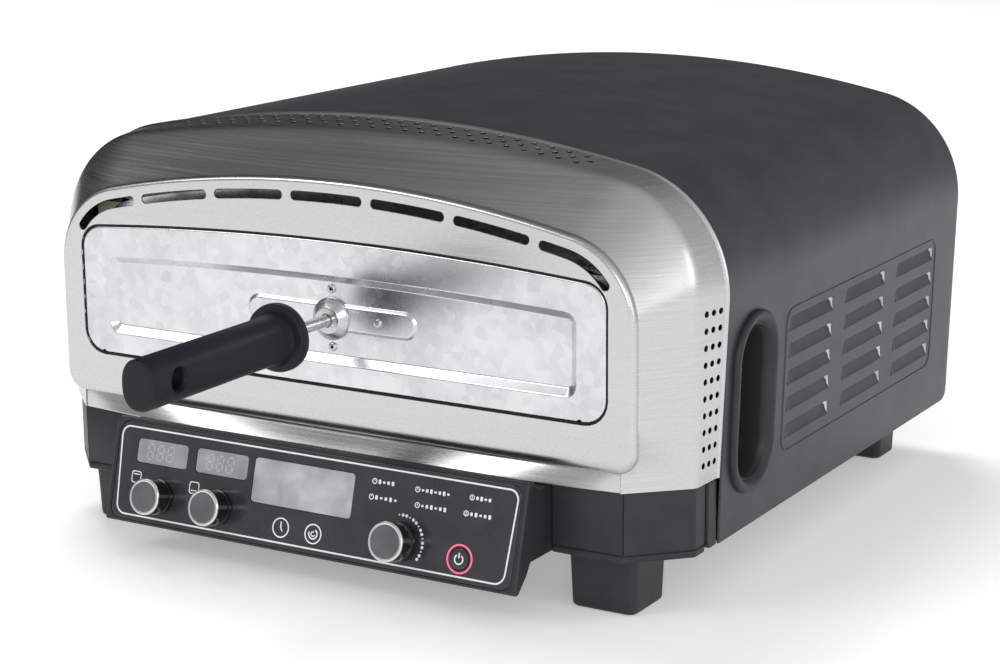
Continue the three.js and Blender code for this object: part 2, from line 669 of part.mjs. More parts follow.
function fanFrame() {
  const { x, z, size, bore, y0, y1 } = FAN;
  const half = size / 2;
  const ring = prismY(roundedRectangle(x, z, size, size, 4, 2), [circle(x, z, bore, 24)], y0, y1);
  const motor = turned([[y1 - 5.5, 13], [y1, 13]], x, z, 14);
  const arms = [0, 120, 240].map((turn) => {
    const arm = box(10, half + 1, y1 - 3.5, y1, -1.6, 1.6);
    arm.applyMatrix4(new THREE.Matrix4().makeRotationY(THREE.MathUtils.degToRad(turn)));
    arm.translate(x, 0, z);
    return arm;
  });
  const trim = prismY(roundedRectangle(x, z, size, size, 4, 2), [], y0 - 1, y1 + 1);
  const spider = fromManifold(Manifold.union([motor, ...arms].map(toManifold)).intersect(toManifold(trim)));
  return union(ring, spider);
}

/** Axial impeller: hub and pitched blades about the fan's axis. */
function fanImpeller() {
  const { x, z, hub, blades, bore, y0, y1 } = FAN;
  const [front, back] = [y0 + 1.5, y1 - 6.2];
  const parts = [turned([[front, hub - 1.5], [front + 1.5, hub], [back, hub]], x, z, 16)];
  for (let k = 0; k < blades; k += 1) {
    const rings = [hub - 1.5, (hub + bore) / 2, bore - 2].map((r, i) => {
      const spread = THREE.MathUtils.degToRad([24, 20, 17][i]);
      const at = (angle, y) => [r * Math.cos(angle), y, r * Math.sin(angle)];
      const leading = [at(-spread, front + 2), at(-spread + 0.05, front + 1.4)];
      return [...leading, at(spread, back - 1.6), at(spread - 0.05, back - 1)];
    });
    const blade = loft(rings);
    blade.applyMatrix4(new THREE.Matrix4().makeRotationY((k / blades) * Math.PI * 2));
    blade.translate(x, 0, z);
    parts.push(blade);
  }
  return union(...parts);
}

/** Three-pin power inlet with a flange behind the rear panel. */
function powerInlet() {
  const { x, z, w, h, flangeW, flangeH, front } = INLET;
  const body = box(x - w / 2, x + w / 2, front, 430, z - h / 2, z + h / 2);
  const flange = prismY(roundedRectangle(x, z, flangeW, flangeH, 5, 2), [], 429, INLET_BACK);
  const [sideX, sideZ] = [w / 2 - 2.5, h / 2 - 2.5];
  const socket = box(x - sideX, x + sideX, 415, INLET_BACK + 5, z - sideZ, z + sideZ);
  const pin = ([dx, dz]) => box(x + dx - 1, x + dx + 1, 414, 428, z + dz - 2, z + dz + 2);
  const pins = [[-6, -2], [0, 3], [6, -2]].map(pin);
  return union(subtract(union(body, flange), socket), ...pins);
}

// ---------------------------------------------------------------------- door

/** Outline rings of the door, drawn in by an inset, at depth y. */
function doorRing(drawn, y) {
  const outline = closedArch(inset(DOOR, drawn), DOOR_BOTTOM + drawn, DOOR_CORNER - drawn);
  return outline.map(([x, z]) => [x, y, z]);
}

function panRing(drawn, y) {
  const outline = closedArch(inset(PAN, drawn), PAN_BOTTOM + drawn, 8 - drawn);
  return outline.map(([x, z]) => [x, y, z]);
}

/** Pressed door skin: turned-back edge and a recessed centre pan. */
function doorSkin() {
  const { face, wall, pan, skinBack } = DOOR_DEPTH;
  const skin = loft([
    panRing(PAN_SLOPE, face + pan),
    panRing(0, face),
    doorRing(0, face),
    doorRing(0, skinBack),
    doorRing(wall, skinBack),
    doorRing(wall, face + wall),
    panRing(-0.6, face + wall),
    panRing(PAN_SLOPE - 0.6, face + pan + wall),
  ]);
  return subtract(skin, rodBore(0.5));
}

/** Cutter for the rod's way through the door, with a clearance round it. */
function rodBore(clearance) {
  const radius = ROD.radius + clearance;
  return turned([[-10, radius], [40, radius]], 0, HANDLE_Z, 12);
}

function doorInsulation() {
  const y0 = DOOR_DEPTH.face + DOOR_DEPTH.pan + DOOR_DEPTH.wall + GAP;
  const outline = doorRing(DOOR_DEPTH.wall + 0.8, 0).map(([x, , z]) => [x, z]);
  return subtract(prismY(outline, [], y0, DOOR_DEPTH.liner - GAP), rodBore(1));
}

function doorLiner() {
  const outline = doorRing(0.4, 0).map(([x, , z]) => [x, z]);
  return subtract(prismY(outline, [], DOOR_DEPTH.liner, DOOR_DEPTH.liner + 0.9), rodBore(0.5));
}

/** Conical collar where the handle rod meets the door. */
function handleCollar() {
  const y = DOOR_DEPTH.face + DOOR_DEPTH.pan - GAP;
  const collar = turned([[y, 12.8], [y - 1.2, 12.8], [y - 5, 8.5]], 0, HANDLE_Z, 24);
  return subtract(collar, rodBore(0.4));
}

function handleRod() {
  return turned([[ROD.front, ROD.radius], [ROD.back, ROD.radius]], 0, HANDLE_Z, 14);
}

function handleNut() {
  const y = DOOR_DEPTH.liner + 0.9 + GAP;
  return subtract(turned([[y, 6.8], [y + 5, 6.8]], 0, HANDLE_Z, 6), rodBore(0.35));
}

/** Oval grip with a round guard, a bore for the rod and a hanging hole. */
function handleGrip() {
  const { halfX, halfZ, guard, guardBack, guardFront, holeY } = GRIP;
  const section = (y, a, b) => circle(0, 0, 1, 24).map(([s, t]) => [s * a, y, HANDLE_Z + t * b]);
  const body = loft([
    section(HANDLE_END, halfX - 1.6, halfZ - 1.6),
    section(HANDLE_END + 1.6, halfX, halfZ),
    section(guardFront - 10, halfX, halfZ),
    section(guardFront - 0.2, halfX + 3, halfZ + 1.4),
    section(guardFront, guard - 1, guard - 1),
    section(guardFront + 1.5, guard, guard),
    section(guardBack - 1.5, guard, guard),
    section(guardBack, guard - 1, guard - 1),
  ]);
  const radius = ROD.radius + 0.35;
  const bore = turned([[ROD.front - 1, radius], [guardBack + 5, radius]], 0, HANDLE_Z, 14);
  const hole = prismX(circle(holeY, HANDLE_Z, 6, 16), [], -30, 30);
  return subtract(body, bore, hole);
}

// ------------------------------------------------------------------ assembly

place('outer_casing', outerCasing(), 'coated');
place('front_bezel', frontBezel(), 'steel');
place('rear_panel', rearPanel(), 'coated');
place('bottom_plate', bottomPlate(), 'darkSteel');
placePair('corner_base', cornerBase(), 'blackPlastic');
placePair('trim_strip', trimStrip(), 'blackPlastic');
placePair('foot_front', foot(FOOT.frontY, BASE.bottom - GAP), 'blackPlastic');
placePair('foot_rear', foot(FOOT.rearY, 36.2), 'blackPlastic');
placePair('side_grip', sideGrip(), 'blackPlastic');

place('control_housing', controlHousing(), 'blackPlastic');
place('control_fascia', controlFascia(), 'glossBlack');
for (const [name, window] of Object.entries(SCREENS)) place(name, screen(window), 'screen');
for (const [name, knob] of Object.entries(KNOBS)) {
  place(`knob_${name}`, knobCap(knob), 'blackPlastic');
  place(`shaft_${name}`, knobShaft(knob), 'brass');
  place(`encoder_${name}`, encoder(knob, 5.5, name === 'program' ? -5 : -3.7), 'darkSteel');
}
place('power_button', powerButton(), 'glossBlack');
place('power_switch', encoder(POWER, 3.2, -4.4), 'darkSteel');
place('control_board', controlBoard(), 'board');
place('power_board', powerBoard(), 'board');

place('cavity_front_frame', cavityFrontFrame(), 'aluminised');
cavityWalls();
insulation();
place('element_upper', heatingElement(ELEMENT.upperZ), 'heater');
place('element_lower', heatingElement(ELEMENT.lowerZ), 'heater');
place('pizza_stone', pizzaStone(), 'stone');
placePair('stone_rail', stoneRail(), 'darkSteel');
place('probe_cavity', probe(95, 160, 330, 2), 'steel');
place('probe_stone', probe(100, 100.8, 345, 1.5), 'steel');
place('thermal_cutout', thermalCutout(), 'darkSteel');

place('fan_frame', fanFrame(), 'blackPlastic');
place('fan_impeller', fanImpeller(), 'blackPlastic');
place('power_inlet', powerInlet(), 'blackPlastic');

place('door_skin', doorSkin(), 'aluminised');
place('door_insulation', doorInsulation(), 'wool');
place('door_liner', doorLiner(), 'aluminised');
place('handle_collar', handleCollar(), 'steel');
place('handle_rod', handleRod(), 'steel');
place('handle_nut', handleNut(), 'steel');
place('handle_grip', handleGrip(), 'blackPlastic');

export default group;
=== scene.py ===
"""Countertop pizza oven: the finished shapes, finishes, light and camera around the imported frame.

Sizes are in millimetres in the oven's own frame: +X to the right of someone who faces the door,
+Y towards the back, +Z up from the counter. The workshop helpers turn them into metres.
"""

import logging
import math
from collections.abc import Callable, Iterator, Sequence
from contextlib import contextmanager
from dataclasses import dataclass, replace
from enum import Enum

import bmesh
import bpy
from mathutils import Matrix, Vector
from mathutils.kdtree import KDTree

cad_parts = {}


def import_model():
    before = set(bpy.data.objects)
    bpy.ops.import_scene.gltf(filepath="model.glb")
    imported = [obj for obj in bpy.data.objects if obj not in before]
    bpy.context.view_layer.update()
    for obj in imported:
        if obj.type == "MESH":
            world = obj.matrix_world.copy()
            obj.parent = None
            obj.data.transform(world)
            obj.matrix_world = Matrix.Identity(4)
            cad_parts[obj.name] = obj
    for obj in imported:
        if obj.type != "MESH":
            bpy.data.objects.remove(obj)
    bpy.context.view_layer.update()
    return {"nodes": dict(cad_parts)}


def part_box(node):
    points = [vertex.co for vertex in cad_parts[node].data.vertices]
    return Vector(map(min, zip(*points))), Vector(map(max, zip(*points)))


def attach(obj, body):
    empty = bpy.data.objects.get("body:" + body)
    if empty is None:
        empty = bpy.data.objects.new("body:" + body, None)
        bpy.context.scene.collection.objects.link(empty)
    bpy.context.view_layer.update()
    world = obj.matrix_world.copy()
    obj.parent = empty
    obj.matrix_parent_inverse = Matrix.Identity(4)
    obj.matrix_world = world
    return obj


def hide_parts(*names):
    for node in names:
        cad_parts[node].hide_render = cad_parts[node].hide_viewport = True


log = logging.getLogger("pizza_oven")

MM = 0.001
FACE_Y = -128.0  # plane of the front bezel's raised face

Object = bpy.types.Object
Point = tuple[float, float, float]
Flat = tuple[float, float]


class Side(Enum):
    """The two sides of the oven, with the sign of their X."""

    RIGHT = 1
    LEFT = -1


class Body(Enum):
    """The rigid bodies that pieces ride on."""

    OVEN = "oven"
    DOOR = "door"
    UPPER_KNOB = "upper_heat_knob"
    LOWER_KNOB = "lower_heat_knob"
    PROGRAM_KNOB = "program_knob"
    POWER = "power_button"
    FAN = "fan_rotor"


# ------------------------------------------------------------------ workshop


def settle() -> None:
    """Goes back to object mode with nothing selected."""
    if bpy.context.mode != "OBJECT":
        bpy.ops.object.mode_set(mode="OBJECT")
    bpy.ops.object.select_all(action="DESELECT")


def take(obj: Object) -> None:
    """Makes one object the active and only selected one."""
    settle()
    obj.select_set(True)
    bpy.context.view_layer.objects.active = obj


@contextmanager
def editing(obj: Object) -> Iterator[bmesh.types.BMesh]:
    """Opens an object in edit mode with everything selected, and closes it again.

    Args:
        obj: the mesh object to edit.

    Returns:
        The edit mesh, while the block runs.
    """
    take(obj)
    bpy.ops.object.mode_set(mode="EDIT")
    bpy.ops.mesh.select_all(action="SELECT")
    yield bmesh.from_edit_mesh(obj.data)
    bpy.ops.object.mode_set(mode="OBJECT")


def closed_loop(name: str, points: Sequence[Point]) -> Object:
    """Adds a circle and lays its vertices along a closed path.

    Args:
        name: the object's name.
        points: the path, in millimetres.

    Returns:
        The wire object.
    """
    settle()
    bpy.ops.mesh.primitive_circle_add(vertices=len(points), radius=1.0, fill_type="NOTHING")
    obj = bpy.context.object
    obj.name = name
    for vertex, point in zip(obj.data.vertices, points):
        vertex.co = Vector(point) * MM
    return obj


def skin(
    name: str, rings: Sequence[Sequence[Point]], cap_start: bool = False, cap_end: bool = False
) -> Object:
    """Extrudes one loop through a row of rings of the same number of points.

    Args:
        name: the object's name.
        rings: the rings in order, in millimetres.
        cap_start: whether the first ring is filled.
        cap_end: whether the last ring is filled.

    Returns:
        The skinned object with its faces pointing outwards.
    """
    obj = closed_loop(name, rings[0])
    with editing(obj):
        before = [Vector(p) * MM for p in rings[0]]
        for ring in rings[1:]:
            bpy.ops.mesh.extrude_region()
            mesh = bmesh.from_edit_mesh(obj.data)
            nearest = KDTree(len(before))
            for i, point in enumerate(before):
                nearest.insert(point, i)
            nearest.balance()
            after = [Vector(p) * MM for p in ring]
            for vertex in (v for v in mesh.verts if v.select):
                vertex.co = after[nearest.find(vertex.co)[1]]
            bmesh.update_edit_mesh(obj.data)
            before = after
        if cap_end:
            bpy.ops.mesh.edge_face_add()
        if cap_start:
            bpy.ops.mesh.select_all(action="DESELECT")
            mesh = bmesh.from_edit_mesh(obj.data)
            mesh.verts.ensure_lookup_table()
            for i in range(len(rings[0])):
                mesh.verts[i].select_set(True)
            bpy.ops.mesh.edge_face_add()
        bpy.ops.mesh.select_all(action="SELECT")
        bpy.ops.mesh.normals_make_consistent(inside=False)
    return obj


def sheet(name: str, columns: int, rows: int, place: Callable[[int, int], Point]) -> Object:
    """Adds a grid and lays each of its vertices where a rule says.

    Args:
        name: the object's name.
        columns: the number of steps along the first direction.
        rows: the number of steps along the second direction.
        place: gives the point, in millimetres, for a column and a row.

    Returns:
        The sheet with its faces made consistent.
    """
    settle()
    bpy.ops.mesh.primitive_grid_add(x_subdivisions=columns, y_subdivisions=rows, size=2.0)
    obj = bpy.context.object
    obj.name = name
    for vertex in obj.data.vertices:
        column = round((vertex.co.x + 1.0) / 2.0 * columns)
        row = round((vertex.co.y + 1.0) / 2.0 * rows)
        vertex.co = Vector(place(column, row)) * MM
    with editing(obj):
        bpy.ops.mesh.normals_make_consistent(inside=False)
    return obj


def prism(name: str, outline: Sequence[Point], thrust: Point) -> Object:
    """Fills a flat outline and extrudes it along a straight line.

    Args:
        name: the object's name.
        outline: the closed outline, in millimetres.
        thrust: how far and which way it is extruded, in millimetres.

    Returns:
        The closed prism.
    """
    obj = closed_loop(name, outline)
    with editing(obj):
        bpy.ops.mesh.edge_face_add()
        bpy.ops.mesh.extrude_region_move(TRANSFORM_OT_translate={"value": Vector(thrust) * MM})
        bpy.ops.mesh.select_all(action="SELECT")
        bpy.ops.mesh.normals_make_consistent(inside=False)
    return obj


def block(name: str, low: Point, high: Point) -> Object:
    """Adds a box between two corners, given in millimetres."""
    settle()
    centre = [(a + b) / 2 * MM for a, b in zip(low, high)]
    size = [(b - a) * MM for a, b in zip(low, high)]
    bpy.ops.mesh.primitive_cube_add(size=1.0, location=centre, scale=size)
    obj = bpy.context.object
    obj.name = name
    bpy.ops.object.transform_apply(location=True, rotation=True, scale=True)
    return obj


def drum(
    name: str, centre: Point, radius: float, depth: float, axis: Point, sides: int = 24
) -> Object:
    """Adds a cylinder about an axis through its centre.

    Args:
        name: the object's name.
        centre: the middle of the cylinder, in millimetres.
        radius: its radius in millimetres.
        depth: its length in millimetres.
        axis: the direction of its axis.
        sides: the number of its sides.

    Returns:
        The cylinder, with its place in its mesh.
    """
    settle()
    bpy.ops.mesh.primitive_cylinder_add(vertices=sides, radius=radius * MM, depth=depth * MM)
    obj = bpy.context.object
    obj.name = name
    turn = Vector(axis).to_track_quat("Z", "Y").to_matrix().to_4x4()
    obj.matrix_world = Matrix.Translation(Vector(centre) * MM) @ turn
    bpy.ops.object.transform_apply(location=True, rotation=True, scale=True)
    return obj


def apply_modifier(obj: Object, kind: str, **settings: object) -> None:
    """Adds a modifier with the given settings and applies it."""
    take(obj)
    bpy.ops.object.modifier_add(type=kind)
    modifier = obj.modifiers[-1]
    for key, value in settings.items():
        setattr(modifier, key, value)
    bpy.ops.object.modifier_apply(modifier=modifier.name)


def round_edges(obj: Object, width: float, segments: int = 3, angle: float = 35.0) -> None:
    """Bevels every edge sharper than an angle in degrees, by a width in millimetres."""
    apply_modifier(
        obj, "BEVEL", width=width * MM, segments=segments, limit_method="ANGLE",
        angle_limit=math.radians(angle), use_clamp_overlap=True,
    )


def thicken(obj: Object, wall: float) -> None:
    """Gives a sheet its wall, inwards from the faces, in millimetres."""
    apply_modifier(obj, "SOLIDIFY", thickness=wall * MM, offset=-1.0, use_even_offset=True)


def join(name: str, pieces: Sequence[Object]) -> Object:
    """Joins objects into one mesh under one name."""
    settle()
    for piece in pieces:
        piece.select_set(True)
    bpy.context.view_layer.objects.active = pieces[0]
    if len(pieces) > 1:
        bpy.ops.object.join()
    pieces[0].name = name
    pieces[0].data.name = name
    return pieces[0]


def carve(obj: Object, cutters: Sequence[Object]) -> None:
    """Cuts the cutters out of an object and removes them."""
    cutter = join("cutter", cutters)
    apply_modifier(obj, "BOOLEAN", operation="DIFFERENCE", solver="EXACT", object=cutter)
    bpy.data.objects.remove(cutter)


def copy_of(obj: Object, name: str, matrix: Matrix) -> Object:
    """Copies an object with its own mesh, moved by a matrix in metres."""
    twin = obj.copy()
    twin.data = obj.data.copy()
    twin.name = name
    bpy.context.scene.collection.objects.link(twin)
    twin.data.transform(matrix)
    return twin


def mirrored(obj: Object, name: str) -> Object:
    """Copies an object to the other side of the oven, faces outwards."""
    twin = copy_of(obj, name, Matrix.Scale(-1, 4, (1, 0, 0)))
    with editing(twin):
        bpy.ops.mesh.flip_normals()
    return twin


def smooth(obj: Object, angle: float = 35.0) -> None:
    """Shades smoothly up to an angle in degrees, with flat faces kept flat."""
    take(obj)
    bpy.ops.object.shade_smooth_by_angle(angle=math.radians(angle))
    apply_modifier(obj, "WEIGHTED_NORMAL", keep_sharp=True, weight=50)


def frame_box(node: str) -> tuple[Vector, Vector]:
    """The lowest and highest corner of a node of the frame, in millimetres."""
    low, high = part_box(node)
    return low / MM, high / MM


# ------------------------------------------------------------------- outlines


def arc(centre: Flat, radius: float, start: float, end: float, steps: int) -> list[Flat]:
    """Points of an arc from one angle to another, in degrees."""
    points = []
    for i in range(steps + 1):
        angle = math.radians(start + (end - start) * i / steps)
        points.append((centre[0] + radius * math.cos(angle), centre[1] + radius * math.sin(angle)))
    return points


def circle(centre: Flat, radius: float, sides: int) -> list[Flat]:
    """Points of a whole circle."""
    return arc(centre, radius, 0, 360, sides)[:-1]


def rounded_box(
    centre: Flat, size: Flat, corner: float, steps: int = 6, spread: int = 1
) -> list[Flat]:
    """Outline of a rectangle with round corners, starting on its right side.

    Args:
        centre: the middle of the rectangle.
        size: its width and height.
        corner: the corner radius.
        steps: the number of steps in each corner.
        spread: the number of steps along each straight side.

    Returns:
        The points, counter-clockwise.
    """
    half_w, half_h = size[0] / 2 - corner, size[1] / 2 - corner
    corners = (
        (half_w, half_h, 0), (-half_w, half_h, 90), (-half_w, -half_h, 180), (half_w, -half_h, 270)
    )
    points: list[Flat] = []
    for dx, dz, start in corners:
        turn = arc((centre[0] + dx, centre[1] + dz), corner, start, start + 90, steps)
        if points and spread > 1:
            last = points[-1]
            points += [
                tuple(a + (b - a) * k / spread for a, b in zip(last, turn[0]))
                for k in range(1, spread)
            ]
        points += turn
    if spread > 1:
        last, first = points[-1], points[0]
        points += [
            tuple(a + (b - a) * k / spread for a, b in zip(last, first)) for k in range(1, spread)
        ]
    return points


@dataclass(frozen=True)
class Arch:
    """An arched section: leaning sides, round shoulders and a slightly crowned top."""

    half: float
    foot: float
    crown: float
    shoulder: float
    radius: float
    knee: float = 0.0
    blend: float = 0.0

    def drawn(self, by: float) -> "Arch":
        """The same section drawn in by a distance."""
        return replace(
            self, half=self.half - by, foot=self.foot - by, crown=self.crown - by,
            shoulder=self.shoulder - by, radius=self.radius - by,
        )

    def mixed(self, other: "Arch", share: float) -> "Arch":
        """The section a share of the way to another one."""
        keys = ("half", "foot", "crown", "shoulder", "radius")
        values = {
            k: getattr(self, k) + (getattr(other, k) - getattr(self, k)) * share for k in keys
        }
        return replace(self, **values)

    def spring(self) -> Flat:
        """Centre of the right shoulder's arc."""
        x = self.half - self.shoulder
        centre_z = self.crown - self.radius
        return x, centre_z + math.sqrt((self.radius - self.shoulder) ** 2 - x * x)

    def side_x(self, foot_z: float, z: float) -> float:
        """Half width of the straight side at a height."""
        if self.knee and z <= self.knee:
            return self.foot
        low, high = self.knee or foot_z, self.blend or self.spring()[1]
        return self.foot + (self.half - self.foot) * min(1.0, (z - low) / (high - low))

    def outline(
        self, foot_z: float, levels: Sequence[float], shoulder: int, crown: int
    ) -> list[Flat]:
        """The open section from the left foot over the crown to the right foot.

        Args:
            foot_z: the height of both feet.
            levels: heights of the points on the straight sides, rising.
            shoulder: the number of steps in each shoulder.
            crown: the number of steps in each half of the top.

        Returns:
            The points as (x, z).
        """
        x, z = self.spring()
        centre_z = self.crown - self.radius
        lean = math.degrees(math.atan2(x, z - centre_z))
        right = [(self.side_x(foot_z, foot_z), foot_z)]
        right += [(self.side_x(foot_z, level), level) for level in levels]
        right += arc((x, z), self.shoulder, 0, 90 - lean, shoulder)
        right += arc((0, centre_z), self.radius, 90 - lean, 90, crown)[1:]
        left = [(-px, pz) for px, pz in right[:-1]]
        return left + right[::-1]

    def closed(
        self, bottom: float, corner: float, shoulder: int, crown: int, turn: int = 6
    ) -> list[Flat]:
        """The section closed along the bottom with round lower corners."""
        upper = self.outline(bottom + corner, [], shoulder, crown)
        right = arc((self.foot - corner, bottom + corner), corner, 0, -90, turn)[1:]
        left = [(-x, z) for x, z in right][::-1]
        return upper + right + left


def upright(points: Sequence[Flat], y: float) -> list[Point]:
    """Lays (x, z) points in the plane of a depth."""
    return [(x, y, z) for x, z in points]


PLATEAU = Arch(202, 202, 237, 51, 758)
CREASE = Arch(223.6, 223.6, 261.4, 67, 1068)
FLANGE = Arch(229.5, 224.6, 266.4, 70, 860)
REAR = Arch(226, 221.6, 263.6, 69, 846)
CASING_SPAN = (FACE_Y + 61.3, FACE_Y + 430)
CASING_FOOT = 35.5


def casing_section(y: float) -> Arch:
    """The casing's section at a depth."""
    share = (y - CASING_SPAN[0]) / (CASING_SPAN[1] - CASING_SPAN[0])
    return FLANGE.mixed(REAR, share)


def casing_x(y: float, z: float) -> float:
    """Half width of the casing's straight side at a place."""
    return casing_section(y).side_x(CASING_FOOT, z)


# ------------------------------------------------------------------- finishes


class Recipe:
    """The node tree of one material, with short ways to add its nodes."""

    def __init__(self, name: str) -> None:
        """Starts an empty material with one Principled shader.

        Args:
            name: the material's name.
        """
        self.material = bpy.data.materials.new(name)
        self.material.use_nodes = True
        self.tree = self.material.node_tree
        self.shader = self.tree.nodes["Principled BSDF"]
        self.place = self.add("ShaderNodeTexCoord").outputs["Object"]

    def add(self, kind: str, **settings: object) -> bpy.types.Node:
        """Adds a node and sets its properties."""
        node = self.tree.nodes.new(kind)
        for key, value in settings.items():
            setattr(node, key, value)
        return node

    def link(self, output: bpy.types.NodeSocket, target: bpy.types.NodeSocket) -> None:
        """Joins an output to an input."""
        self.tree.links.new(output, target)

    def stretched(self, scale: Point) -> bpy.types.NodeSocket:
        """Object coordinates scaled by axis, for a pattern that runs one way."""
        mapping = self.add("ShaderNodeMapping")
        mapping.inputs["Scale"].default_value = scale
        self.link(self.place, mapping.inputs["Vector"])
        return mapping.outputs["Vector"]

    def noise(
        self, scale: float, detail: float = 2.0, at: bpy.types.NodeSocket | None = None
    ) -> bpy.types.NodeSocket:
        """A noise pattern's value."""
        node = self.add("ShaderNodeTexNoise")
        node.inputs["Scale"].default_value = scale
        node.inputs["Detail"].default_value = detail
        self.link(at or self.place, node.inputs["Vector"])
        return node.outputs["Fac"]

    def spread(
        self, value: bpy.types.NodeSocket, low: float, high: float, inner: Flat = (0.3, 0.7)
    ) -> bpy.types.NodeSocket:
        """Maps a pattern's middle range to a range of numbers."""
        node = self.add("ShaderNodeMapRange")
        for key, number in zip(("From Min", "From Max", "To Min", "To Max"), (*inner, low, high)):
            node.inputs[key].default_value = number
        self.link(value, node.inputs["Value"])
        return node.outputs["Result"]

    def shades(
        self, value: bpy.types.NodeSocket, dark: Point, light: Point, inner: Flat = (0.3, 0.7)
    ) -> None:
        """Drives the base colour between two colours."""
        ramp = self.add("ShaderNodeValToRGB")
        ramp.color_ramp.elements[0].position = inner[0]
        ramp.color_ramp.elements[1].position = inner[1]
        ramp.color_ramp.elements[0].color = (*dark, 1)
        ramp.color_ramp.elements[1].color = (*light, 1)
        self.link(value, ramp.inputs["Fac"])
        self.link(ramp.outputs["Color"], self.shader.inputs["Base Color"])

    def relief(self, value: bpy.types.NodeSocket, strength: float, distance: float) -> None:
        """Adds fine relief, with its height in millimetres."""
        bump = self.add("ShaderNodeBump")
        bump.inputs["Strength"].default_value = strength
        bump.inputs["Distance"].default_value = distance * MM
        self.link(value, bump.inputs["Height"])
        self.link(bump.outputs["Normal"], self.shader.inputs["Normal"])

    def fixed(self, **values: object) -> None:
        """Sets numbers that are the same all over on the shader's own sockets."""
        for key, value in values.items():
            self.shader.inputs[key.replace("_", " ")].default_value = value


@dataclass(frozen=True)
class BrushedSteel:
    """Stainless sheet with a fine grain that runs along X."""

    name: str = "brushed_stainless"
    dark: Point = (0.55, 0.55, 0.555)
    light: Point = (0.61, 0.61, 0.615)
    rough: Flat = (0.24, 0.31)
    grain: Point = (5, 40, 1100)

    def make(self) -> bpy.types.Material:
        """Returns the finished material."""
        recipe = Recipe(self.name)
        lines = recipe.noise(1.0, 3.0, recipe.stretched(self.grain))
        recipe.shades(lines, self.dark, self.light)
        recipe.link(recipe.spread(lines, *self.rough), recipe.shader.inputs["Roughness"])
        recipe.relief(lines, 0.05, 0.03)
        recipe.fixed(Metallic=1.0, Anisotropic=0.35)
        return recipe.material


@dataclass(frozen=True)
class SpangledSheet:
    """Aluminised sheet: soft bright crystals of slightly different gloss."""

    name: str = "aluminised_sheet"

    def make(self) -> bpy.types.Material:
        """Returns the finished material."""
        recipe = Recipe(self.name)
        cells = recipe.add("ShaderNodeTexVoronoi", feature="F1")
        cells.inputs["Scale"].default_value = 160.0
        recipe.link(recipe.place, cells.inputs["Vector"])
        tone = recipe.add("ShaderNodeRGBToBW")
        recipe.link(cells.outputs["Color"], tone.inputs["Color"])
        cloud = recipe.noise(28.0, 4.0)
        both = recipe.add("ShaderNodeMath", operation="MULTIPLY_ADD")
        both.inputs[1].default_value = 0.35
        recipe.link(tone.outputs["Val"], both.inputs[0])
        recipe.link(cloud, both.inputs[2])
        recipe.shades(both.outputs[0], (0.58, 0.595, 0.61), (0.69, 0.70, 0.71), (0.45, 0.85))
        recipe.link(
            recipe.spread(both.outputs[0], 0.31, 0.23, (0.4, 0.9)),
            recipe.shader.inputs["Roughness"]
        )
        recipe.relief(cloud, 0.06, 0.3)
        recipe.fixed(Metallic=1.0)
        return recipe.material


@dataclass(frozen=True)
class PowderCoat:
    """Dark satin coating with fine orange peel."""

    name: str = "dark_powder_coat"
    dark: Point = (0.025, 0.030, 0.037)
    light: Point = (0.042, 0.046, 0.052)
    rough: Flat = (0.34, 0.42)

    def make(self) -> bpy.types.Material:
        """Returns the finished material."""
        recipe = Recipe(self.name)
        recipe.shades(recipe.noise(35.0, 3.0), self.dark, self.light)
        peel = recipe.noise(1400.0, 2.0)
        recipe.link(recipe.spread(peel, *self.rough), recipe.shader.inputs["Roughness"])
        recipe.relief(peel, 0.15, 0.04)
        recipe.fixed(Metallic=0.3, Specular_IOR_Level=0.5)
        return recipe.material


@dataclass(frozen=True)
class Moulded:
    """Moulded plastic, rubber or coating: one tone, a grain and a gloss."""

    name: str
    tone: Point
    gloss: Flat = (0.42, 0.55)
    grain: float = 1500.0
    depth: float = 0.04
    metal: float = 0.0
    coat: float = 0.0
    shift: float = 0.18
    shine: float = 0.5

    def make(self) -> bpy.types.Material:
        """Returns the finished material."""
        recipe = Recipe(self.name)
        low = tuple(c * (1 - self.shift) for c in self.tone)
        high = tuple(min(1.0, c * (1 + self.shift)) for c in self.tone)
        recipe.shades(recipe.noise(60.0, 3.0), low, high)
        fine = recipe.noise(self.grain, 2.0)
        recipe.link(recipe.spread(fine, *self.gloss), recipe.shader.inputs["Roughness"])
        recipe.relief(fine, 0.2, self.depth)
        recipe.fixed(
            Metallic=self.metal, Specular_IOR_Level=self.shine, Coat_Weight=self.coat,
            Coat_Roughness=0.08,
        )
        return recipe.material


@dataclass(frozen=True)
class Lit:
    """A print or a light guide that glows faintly by itself."""

    name: str
    tone: Point
    glow: float

    def make(self) -> bpy.types.Material:
        """Returns the finished material."""
        recipe = Recipe(self.name)
        recipe.shades(recipe.noise(300.0), tuple(c * 0.9 for c in self.tone), self.tone)
        recipe.fixed(Roughness=0.4, Emission_Color=(*self.tone, 1), Emission_Strength=self.glow)
        return recipe.material


